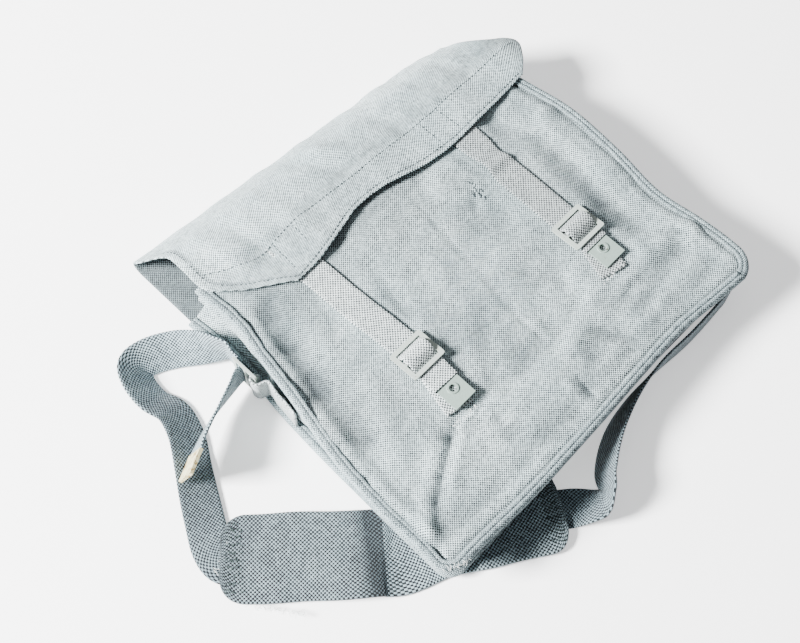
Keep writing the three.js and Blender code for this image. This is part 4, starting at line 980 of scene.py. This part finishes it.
def build_flap():
    t = FLAP_T[:, None]
    down = FLAP_DOWN
    detail = flap_detail(FLAP[..., 0], down, t)
    edge = down[-1:] - down
    side = FLAP[..., 0] - FLAP[:, :1, 0]
    hem = 0.35 * smoothstep(14.0 - edge, 0.0, 1.5) * smoothstep(t, 8.0, 9.0)
    hem = hem + 0.7 * smoothstep(7.5 - side, 0.0, 1.5) * smoothstep(t, 6.2, 7.0)
    stitch = -0.35 * np.exp(-((edge - 4.2) / 0.8) ** 2) * smoothstep(t, 8.0, 9.0)
    grid = FLAP - grid_normals(FLAP) * (detail + hem + stitch)[..., None]
    global FLAP_TOP
    FLAP_TOP = grid - grid_normals(grid) * HALF_CLOTH
    uv = np.dstack([FLAP[..., 0], down])
    # Painted shade: darker in the hollows, along the hem stitching and beside the turned left side; dirt and painted
    # shade on the part that lies on the floor, most at its left end.
    dirt_and_shade = hollows(grid, 8, 0.06) * smoothstep(t, 5.0, 6.5) * smoothstep(edge, 1.0, 8.0)
    dirt_and_shade += 0.35 * np.exp(-((edge - 4.0) / 0.9) ** 2) * smoothstep(t, 8.0, 9.0)
    dirt_and_shade += 0.45 * np.exp(-((side - 8.6) / 1.2) ** 2) * smoothstep(t, 6.2, 7.0)
    dirt_and_shade += (0.15 + 0.72 * smoothstep(-FLAP[..., 0], 0.0, 90.0)) * smoothstep(4.2 - t, 0.0, 1.2)
    piece = sheet_object("flap_cloth", grid, CLOTH, uv, dirt_and_shade)
    dress(piece, canvas, "canvas", "flap")


# Closing straps

def panel_top(x, y, width):
    return max(float(panel_middle(x + k * width, y)) for k in (-0.5, -0.25, 0, 0.25, 0.5)) + HALF_CLOTH


def build_closing(closing, seed):
    buckle_x = closing["buckle"] * HALF_WIDTH
    buckle_y = MIDDLE_Y + closing["level"] * HALF_HEIGHT
    layer = STRAP_PLAY * GAP + WEBBING
    low_bar = BUCKLE_LENGTH / 2 - BUCKLE_BAR / 2

    def seat(x, y):
        return panel_top(x, y, 1.4 * STRAP_WIDTH) + 2 * GAP + WEBBING / 2

    base = max(seat(buckle_x, buckle_y + rise) for rise in (-low_bar, 0, low_bar))
    top_bar = base + layer / 2 + BUCKLE_THICK / 2 + GAP / 2
    low_bar_z = base + 1.5 * layer + BUCKLE_THICK / 2 + GAP / 2
    bar_z = (top_bar + low_bar_z) / 2
    wrap = math.hypot(BUCKLE_THICK, BUCKLE_CENTRE_BAR) / 2 + GAP + WEBBING / 2
    over = bar_z + wrap + layer
    top_y = MOUTH_Y - FLAP_DROP + STRAP_UNDER_FLAP
    top_x, mid_x = closing["top"] * HALF_WIDTH, closing["mid"] * HALF_WIDTH
    mid_y = lerp(top_y, buckle_y, 0.52)
    path = []
    for k in range(4):
        y = lerp(top_y, mid_y, k / 3)
        x = lerp(top_x, mid_x, float(smoothstep(k / 3, 0, 1)))
        path.append((x, y, seat(x, y), 0))
    for k in range(1, 4):
        y = lerp(mid_y, buckle_y + low_bar + BUCKLE_BAR, k / 3)
        x = lerp(mid_x, buckle_x, float(smoothstep(k / 3, 0, 1)))
        path.append((x, y, seat(x, y) if k < 3 else base, 0))
    after = low_bar + BUCKLE_BAR / 2 + 1
    for rise, z in [
        (low_bar - BUCKLE_BAR / 2 - 0.2, base), (0.55 * low_bar, lerp(base, over, 0.48)),
        (0.27 * low_bar, over - 0.12 * WEBBING), (-0.20 * low_bar, over),
        (-0.50 * low_bar, lerp(base + layer, over, 0.62)), (-low_bar + BUCKLE_BAR / 2 + 0.2, base + layer),
        (-after, base + layer),
    ]:
        path.append((buckle_x, buckle_y + rise, z, 0))
    plate_top = buckle_y - closing["plate_from"] * STRAP_WIDTH
    plate_x = closing["plate"] * HALF_WIDTH
    under = max(seat(plate_x, plate_top), seat(plate_x, plate_top - PLATE_LENGTH)) + layer
    plate_z = max(under, seat(plate_x, plate_top - PLATE_LENGTH / 2) + layer)
    path.append((lerp(buckle_x, plate_x, 0.6), lerp(buckle_y - after, plate_top, 0.5),
                 lerp(base + layer, plate_z, 0.6), 0))
    path.append((plate_x, plate_top + 4 * GAP, plate_z, 0))
    name = closing["name"]
    kink = closing["kink"]

    def narrowed(t):
        return 1 - 0.20 * kink * math.exp(-((t - 0.168) / 0.022) ** 2)

    def buckled(t, a):
        return kink * (2.6 * math.exp(-((t - 0.186) / 0.012) ** 2)
                       + 0.10 * (a + 12) * math.exp(-((t - 0.163) / 0.02) ** 2))

    # The right strap and its chape are darkened with dirt and painted shade.
    piece = webbing_object(f"strap_{name}", path, STRAP_WIDTH, WEBBING, 200, 11, seed, wide_at=narrowed,
                           shape=buckled, dirt_and_shade_at=lambda t, a: closing["dirt_and_shade"])
    dress(piece, pale, "pale_webbing", f"closing_strap_{name}")

    chape = []
    chape_y = buckle_y - closing["chape_end"] * STRAP_WIDTH
    chape_x = closing["chape"] * HALF_WIDTH
    for k in range(4):
        y = lerp(chape_y, buckle_y - after, k / 3)
        x = lerp(chape_x, buckle_x, k / 3)
        chape.append((x, y, seat(x, y) if k < 3 else base, 0))
    chape.append((buckle_x, buckle_y - low_bar + BUCKLE_BAR / 2, base, 0))
    for angle in range(-110, 111, 36):
        turn = math.radians(angle)
        chape.append((buckle_x, buckle_y + wrap * math.cos(turn), bar_z + wrap * math.sin(turn), 0))
    piece = webbing_object(f"chape_{name}", chape, STRAP_WIDTH - 2 * BUCKLE_SIDE_PLAY, WEBBING, 110, 11,
                           seed + 5, fray=(0.6, 0.0), dirt_and_shade_at=lambda t, a: closing["dirt_and_shade"])
    dress(piece, pale, "pale_webbing", f"buckle_chape_{name}")


# Shoulder strap, pad and side tab

def shoulder_rows(route):
    rows = []
    for x, y, lift, roll in route:
        angle = math.radians(roll)
        rise = SHOULDER_WIDTH / 2 * math.sin(angle) + SHOULDER_THICK / 2 * math.cos(angle)
        rows.append((x * HALF_WIDTH, MIDDLE_Y + y * HALF_HEIGHT, lift * SHOULDER_WIDTH + rise + FLOOR_PLAY, roll))
    return rows


PAD_ROWS = [(x * HALF_WIDTH, MIDDLE_Y + y * HALF_HEIGHT, PAD_THICK / 2 + lift * SHOULDER_THICK + FLOOR_PLAY, roll)
            for x, y, lift, roll in PAD_ROUTE]


def build_shoulder():
    # The left run darkens from about two thirds along to its end.
    left = shoulder_rows(LEFT_ROUTE)
    piece = webbing_object("strap_run_left", left, SHOULDER_WIDTH, SHOULDER_THICK, 300, 13, 11,
                           dirt_and_shade_at=lambda t, a: 0.58 * float(smoothstep(t, 0.66, 0.74)))
    dress(piece, strap, "dark_webbing", "shoulder_strap_left")
    # Painted shade: the right run is darkened all along, where it lies beside and under the bag.
    right = shoulder_rows(RIGHT_ROUTE)
    piece = webbing_object("strap_run_right", right, SHOULDER_WIDTH, SHOULDER_THICK, 240, 13, 12,
                           dirt_and_shade_at=lambda t, a: 0.62)
    dress(piece, strap, "dark_webbing", "shoulder_strap_right")
    rows = PAD_ROWS
    length = sum(math.hypot(b[0] - a[0], b[1] - a[1]) for a, b in zip(rows, rows[1:]))

    def wide_at(t):
        open_share = min(max(min(t, 1 - t) * length / PAD_ROUND, 0), 1)
        return lerp(PAD_END_SHARE, 1, math.sqrt(1 - (1 - open_share) ** 2))

    # Painted light and shade: the pad is darkened before its fold, most beside the fold, and left almost clean past
    # it, where it faces the light; its ends are a little darker.
    def darkening(t, a):
        near_fold = math.exp(-((t - 0.44) / 0.085) ** 2) if t < 0.48 else 0.0
        ends = math.exp(-((min(t, 1 - t) - 0.03) / 0.05) ** 2)
        return 0.42 + 0.95 * near_fold + 0.25 * ends - 0.38 * float(smoothstep(t, 0.46, 0.50))

    piece = webbing_object("pad_body", rows, PAD_WIDTH, PAD_THICK, 220, 31, 13, wide_at=wide_at, dirt_and_shade_at=darkening)
    dress(piece, pad_cloth, "dark_webbing", "shoulder_pad")


def build_side_tab():
    centre_y = MIDDLE_Y + 0.513 * HALF_HEIGHT
    centre_z = SHOULDER_WIDTH * 0.25 + SHOULDER_WIDTH / 2
    frame_x = float(back_seam.left_x(centre_y - SIDE_BUCKLE_LENGTH / 2)) - BUCKLE_THICK / 2 - 5 * GAP
    bar_y = centre_y - SIDE_BUCKLE_LENGTH / 2 + SIDE_BUCKLE_BAR / 2
    turn = SIDE_BUCKLE_BAR / 2 + GAP + SHOULDER_THICK / 2 + 0.2
    walls = np.array(GUSSET_LINES)[2:7]

    def reach(y):
        near = (walls[2, :, 0] < 0) & (np.abs(walls[2, :, 1] - y) < 0.09 * BODY_HEIGHT)
        return float(walls[:, near, 0].min()) - HALF_CLOTH - GAP

    start = bar_y - 2.4 * turn - SIDE_TAB_LENGTH
    rows = []
    for t in (0, 0.33, 0.66, 1):
        y = start + t * SIDE_TAB_LENGTH
        rows.append((reach(y) - SHOULDER_THICK / 2, y, centre_z, 90))
    for dx, dy in [(-0.55, -1.25), (-1.0, 0.0), (-0.72, 0.85), (0.1, 1.12), (0.85, 0.75), (1.1, -0.2)]:
        rows.append((frame_x + dx * turn, bar_y + dy * turn, centre_z, 90))
    piece = webbing_object("tab_loop", rows, SHOULDER_WIDTH, SHOULDER_THICK, 90, 13, 14, fray=(1.5, 0.0))
    dress(piece, pale, "pale_webbing", "side_tab")


class Bundle:
    """Many small closed pieces gathered into one mesh."""

    def __init__(self):
        self.points, self.faces = [], []

    def tube(self, path, radius, sides=6):
        """A thread through points, pointed at both ends."""
        path = np.asarray(path, float)
        first = len(self.points)
        count = len(path)
        for i, point in enumerate(path):
            step = path[min(i + 1, count - 1)] - path[max(i - 1, 0)]
            step = step / max(np.linalg.norm(step), 1e-9)
            side = np.cross(step, (0.0, 0.0, 1.0) if abs(step[2]) < 0.9 else (1.0, 0.0, 0.0))
            side /= np.linalg.norm(side)
            up = np.cross(side, step)
            r = radius * (0.45 if i in (0, count - 1) else 1.0)
            for k in range(sides):
                angle = math.tau * k / sides
                self.points.append(point + side * r * math.cos(angle) + up * r * math.sin(angle))
        for i in range(count - 1):
            for k in range(sides):
                a = first + i * sides + k
                b = first + i * sides + (k + 1) % sides
                self.faces.append((a, b, b + sides, a + sides))
        self.faces.append(tuple(first + k for k in range(sides - 1, -1, -1)))
        self.faces.append(tuple(first + (count - 1) * sides + k for k in range(sides)))

    def stitches(self, line, length, pitch, radius, sink=0.15, seed=1):
        """A row of stitches along a line of points on a surface, each with its ends drawn in."""
        picks = random.Random(seed)
        line = np.asarray(line, float)
        spans = np.linalg.norm(np.diff(line, axis=0), axis=1)
        travelled = np.concatenate([[0], np.cumsum(spans)])
        at = 0.4 * pitch
        while at + length < travelled[-1]:
            long = length * picks.uniform(0.85, 1.1)
            places = np.array([0.0, 0.25, 0.75, 1.0]) * long + at
            path = np.stack([np.interp(places, travelled, line[:, k]) for k in range(3)], axis=1)
            path[:, 2] += np.array([-sink, radius * 0.5, radius * 0.5, -sink])
            self.tube(path, radius)
            at += pitch * picks.uniform(0.94, 1.06)

    def build(self, name, material, slot):
        piece = face_out(make_object(name, self.points, self.faces))
        return dress(piece, material, slot)


def front_top(x, y):
    """A point on the front panel's outer face."""
    x, y = np.asarray(x, float), np.asarray(y, float)
    return np.stack([x, y, panel_middle(x, y) + panel_detail(x, y) + HALF_CLOTH], axis=-1)


def straight(ax, ay, bx, by, count=12):
    t = np.linspace(0, 1, count)
    return lerp(ax, bx, t), lerp(ay, by, t)


def flap_line(places):
    """Points on the flap's outer face nearest to (x, y) pairs."""
    upper = FLAP_TOP[FLAP_T > 5.2].reshape(-1, 3)
    line = []
    for x, y in places:
        away = np.hypot(upper[:, 0] - x, upper[:, 1] - y)
        near = np.argsort(away)[:4]
        share = 1 / (away[near] + 0.05)
        line.append((upper[near] * share[:, None]).sum(axis=0) / share.sum())
    return line


def flap_border(depth, side):
    """Points on the flap's outer face at an even distance in from its free edge or its left side."""
    if side:
        rows = np.flatnonzero(FLAP_T > 6.6)
        return [FLAP_TOP[r, int(np.argmin(np.abs(FLAP_TOP[r, :, 0] - FLAP_TOP[r, 0, 0] - depth)))] for r in rows]
    up = FLAP_DOWN[-1:] - FLAP_DOWN
    return [FLAP_TOP[int(np.argmin(np.abs(up[:, c] - depth))), c] for c in range(2, FLAP_TOP.shape[1] - 2, 2)]


def dense(places, step=3.0):
    out = []
    for (ax, ay), (bx, by) in zip(places, places[1:]):
        count = max(int(math.hypot(bx - ax, by - ay) / step), 1)
        out += [(lerp(ax, bx, k / count), lerp(ay, by, k / count)) for k in range(count)]
    return out + [places[-1]]


def smooth_line(line, times=3):
    line = np.asarray(line, float)
    for _ in range(times):
        line[1:-1] = (line[:-2] + 2 * line[1:-1] + line[2:]) / 4
    return line


def build_stitching():
    seams = Bundle()
    for seam, level_at, depth, seed in [
        (front_seam, front_seam_level, 5.6, 61), (front_seam, front_seam_level, 2.2, 62),
        (back_seam, back_seam_level, 5.6, 63),
    ]:
        xy = seam.inset(depth)
        z = np.array([float(level_at(x, y)) for x, y in xy]) + SEAM_THICK / 2 + 0.08
        seams.stitches(np.column_stack([xy, z]), 1.5, 2.9, 0.30, seed=seed)
    seams.build("seam_stitches", thread_and_hole_shade, "edging")

    flap = Bundle()
    flap.stitches(smooth_line(flap_border(4.6, False)), 2.3, 3.6, 0.42, seed=64)
    flap.stitches(smooth_line(flap_border(6.0, True), 6), 2.3, 3.7, 0.42, seed=67)
    long_line = dense([(-140, 158), (-124, 146), (-107, 137), (-95, 134), (-82, 136), (-59, 138), (0, 134),
                       (84, 130), (101, 129), (160, 130), (204, 131)])
    flap.stitches(smooth_line(flap_line(long_line)), 2.5, 3.9, 0.44, seed=65)
    for x0, y0, x1, y1 in [(-82, 136, -84, 104), (-59, 138, -60, 116), (84, 130, 84, 104), (104, 129, 106, 102)]:
        flap.stitches(smooth_line(flap_line(dense([(x0, y0), (x1, y1)]))), 2.3, 3.7, 0.38, seed=66)
    flap.build("flap_stitches", thread_and_hole_shade, "canvas")

    mends = Bundle()
    picks = random.Random(71)
    for cx, cy in [(75, 57), (73, 43), (70, 50)]:
        for _ in range(5):
            x, y = cx + picks.uniform(-3, 3), cy + picks.uniform(-4, 4)
            turn = picks.uniform(0.5, 2.2)
            xs, ys = straight(x, y, x + 4 * math.cos(turn), y + 4 * math.sin(turn), 5)
            path = front_top(xs, ys)
            path[1:4, 2] += 0.5
            mends.tube(path, 0.26)
    mends.stitches(front_top(*straight(26, 46, 20, 23)), 1.8, 3.4, 0.30, seed=72)
    mends.stitches(front_top(*straight(20, 23, 13, -29, 24)), 0.8, 4.2, 0.22, seed=73)
    mends.build("mending_threads", thread_and_hole_shade, "canvas")

    ends = Bundle()
    pad = Route(PAD_ROWS)
    for near, inward in ((0.0, 1), (1.0, -1)):
        for row, place in enumerate((0.022, 0.036, 0.050, 0.066)):
            for k in range(19):
                a = lerp(-27, 27, (k + picks.uniform(-0.3, 0.3)) / 18)
                t = near + inward * (place + 0.020 * (1 - math.sqrt(max(1 - (a / 34) ** 2, 0))))
                point, tangent, across, out = pad.frame_at(t)
                start = point + across * a + out * (PAD_THICK / 2 + 0.05)
                lean = picks.uniform(-1.2, 1.2) + (1.1 if (k + row) % 2 else -1.1)
                finish = start + across * picks.uniform(0.8, 2.4) * (1 if k % 2 else -1) + tangent * lean * 1.6
                middle = (start + finish) / 2 + out * picks.uniform(0.4, 0.9)
                ends.tube([start, middle, finish], picks.uniform(0.26, 0.44), 5)
    ends.build("pad_end_stitches", pad_thread, "dark_webbing")


def build_frays():
    """Loose threads at worn edges."""
    picks = random.Random(81)
    frays = Bundle()

    def tuft(x, y, z, direction, spread, count, length):
        for _ in range(count):
            angle = direction + picks.uniform(-spread, spread)
            curl = picks.uniform(-0.5, 0.5)
            px, py, pz = x + picks.uniform(-1.5, 1.5), y + picks.uniform(-1.5, 1.5), z + picks.uniform(-0.4, 0.4)
            long = length * picks.uniform(0.5, 1.1)
            path = []
            for k in range(6):
                path.append((px, py, pz + 0.8 * math.sin(k * 0.6)))
                px += math.cos(angle) * long / 5
                py += math.sin(angle) * long / 5
                angle += curl
            frays.tube(path, picks.uniform(0.13, 0.22), 5)

    for k in range(16):
        t = k / 15
        tuft(lerp(-291, -268, t), lerp(-64, -88, t) + 34 * (1 - t) * 0.3, 5.4, 3.6, 0.9, 3, 5)
    for k in range(14):
        t = k / 13
        tuft(lerp(-294, -262, t), lerp(-20, -2, t), 5.6, 2.4, 0.8, 2, 5)
    for k in range(12):
        t = k / 11
        tuft(lerp(-92, -68, t), -76.5, 52.0, -1.57, 0.5, 2, 3.2)
        tuft(lerp(82, 106, t), -79.5, 52.0, -1.57, 0.5, 2, 3.2)
    for k in range(10):
        t = k / 9
        tuft(lerp(-178, -160, t), lerp(-146, -155, t), 48.8, -2.2, 1.2, 2, 4)
    frays.build("loose_threads", pale_thread, "pale_webbing")


def dress_metal():
    """The metal nodes keep their solids, with their edges softened."""
    for name, material, width in [
        ("buckle_left", painted, 0.55), ("buckle_right", painted, 0.55), ("side_buckle", painted, 0.5),
        ("strap_end_left", end_metal, 0.3), ("strap_end_right", end_metal, 0.3), ("strap_tip", brass, 0.5),
    ]:
        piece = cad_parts[name]
        piece.data.materials.clear()
        piece.data.materials.append(material)
        bevel = piece.modifiers.new("soft_edges", "BEVEL")
        bevel.width = width * MM
        bevel.segments = 3
        bevel.limit_method = "ANGLE"


# Stage, light and camera

def build_stage():
    floor = make_object("floor", [(-20000, -20000, -0.2), (20000, -20000, -0.2), (20000, 20000, -0.2), (-20000, 20000, -0.2)],
                        [(0, 1, 2, 3)])
    made = bpy.data.materials.new("floor_white")
    made.use_nodes = True
    shader = made.node_tree.nodes["Principled BSDF"]
    shader.inputs["Base Color"].default_value = (0.95, 0.95, 0.95, 1)
    shader.inputs["Roughness"].default_value = 0.9
    shader.inputs["Specular IOR Level"].default_value = 0.0
    shader.inputs["Emission Color"].default_value = (1, 1, 1, 1)
    shader.inputs["Emission Strength"].default_value = 0.7
    floor.data.materials.append(made)
    world = bpy.data.worlds.new("studio")
    bpy.context.scene.world = world
    world.use_nodes = True
    world.node_tree.nodes["Background"].inputs[0].default_value = (0.93, 0.96, 1.0, 1)
    world.node_tree.nodes["Background"].inputs[1].default_value = 0.32

    def area(name, where, towards, size, power, colour=(1, 1, 1)):
        light = bpy.data.lights.new(name, "AREA")
        light.shape = "RECTANGLE"
        light.size, light.size_y = size
        light.energy = power
        light.color = colour
        lamp = bpy.data.objects.new(name, light)
        bpy.context.scene.collection.objects.link(lamp)
        from mathutils import Vector
        lamp.location = where
        lamp.rotation_euler = (Vector(towards) - Vector(where)).to_track_quat("-Z", "Y").to_euler()

    area("key", (-2.45, 1.50, 2.00), (0, 0, 0), (0.9, 0.9), 1000)
    area("fill", (0.5, 0.9, 3.4), (0, 0, 0), (2.6, 2.6), 20)


def build_camera():
    camera = bpy.data.cameras.new("camera")
    camera.lens = LENS
    camera.sensor_width = 36
    camera.clip_start = 0.01
    camera.clip_end = 20
    seen = bpy.data.objects.new("camera", camera)
    bpy.context.scene.collection.objects.link(seen)
    from mathutils import Matrix
    right, up, back = CAMERA_RIGHT, CAMERA_UP, CAMERA_BACK
    seen.matrix_world = Matrix([
        (right[0], up[0], back[0], CAMERA_AT[0] * MM),
        (right[1], up[1], back[1], CAMERA_AT[1] * MM),
        (right[2], up[2], back[2], CAMERA_AT[2] * MM),
        (0, 0, 0, 1),
    ])
    bpy.context.scene.camera = seen


build_camera()
build_gusset()
build_panels()
build_flap()
build_binding("front_tape", "front_binding", front_seam, front_seam_level, 41)
build_binding("back_tape", "back_binding", back_seam, back_seam_level, 42)
for number, closing in enumerate(CLOSINGS):
    build_closing(closing, 50 + number)
build_side_tab()
build_shoulder()
dress_metal()
build_stitching()
build_frays()
build_stage()
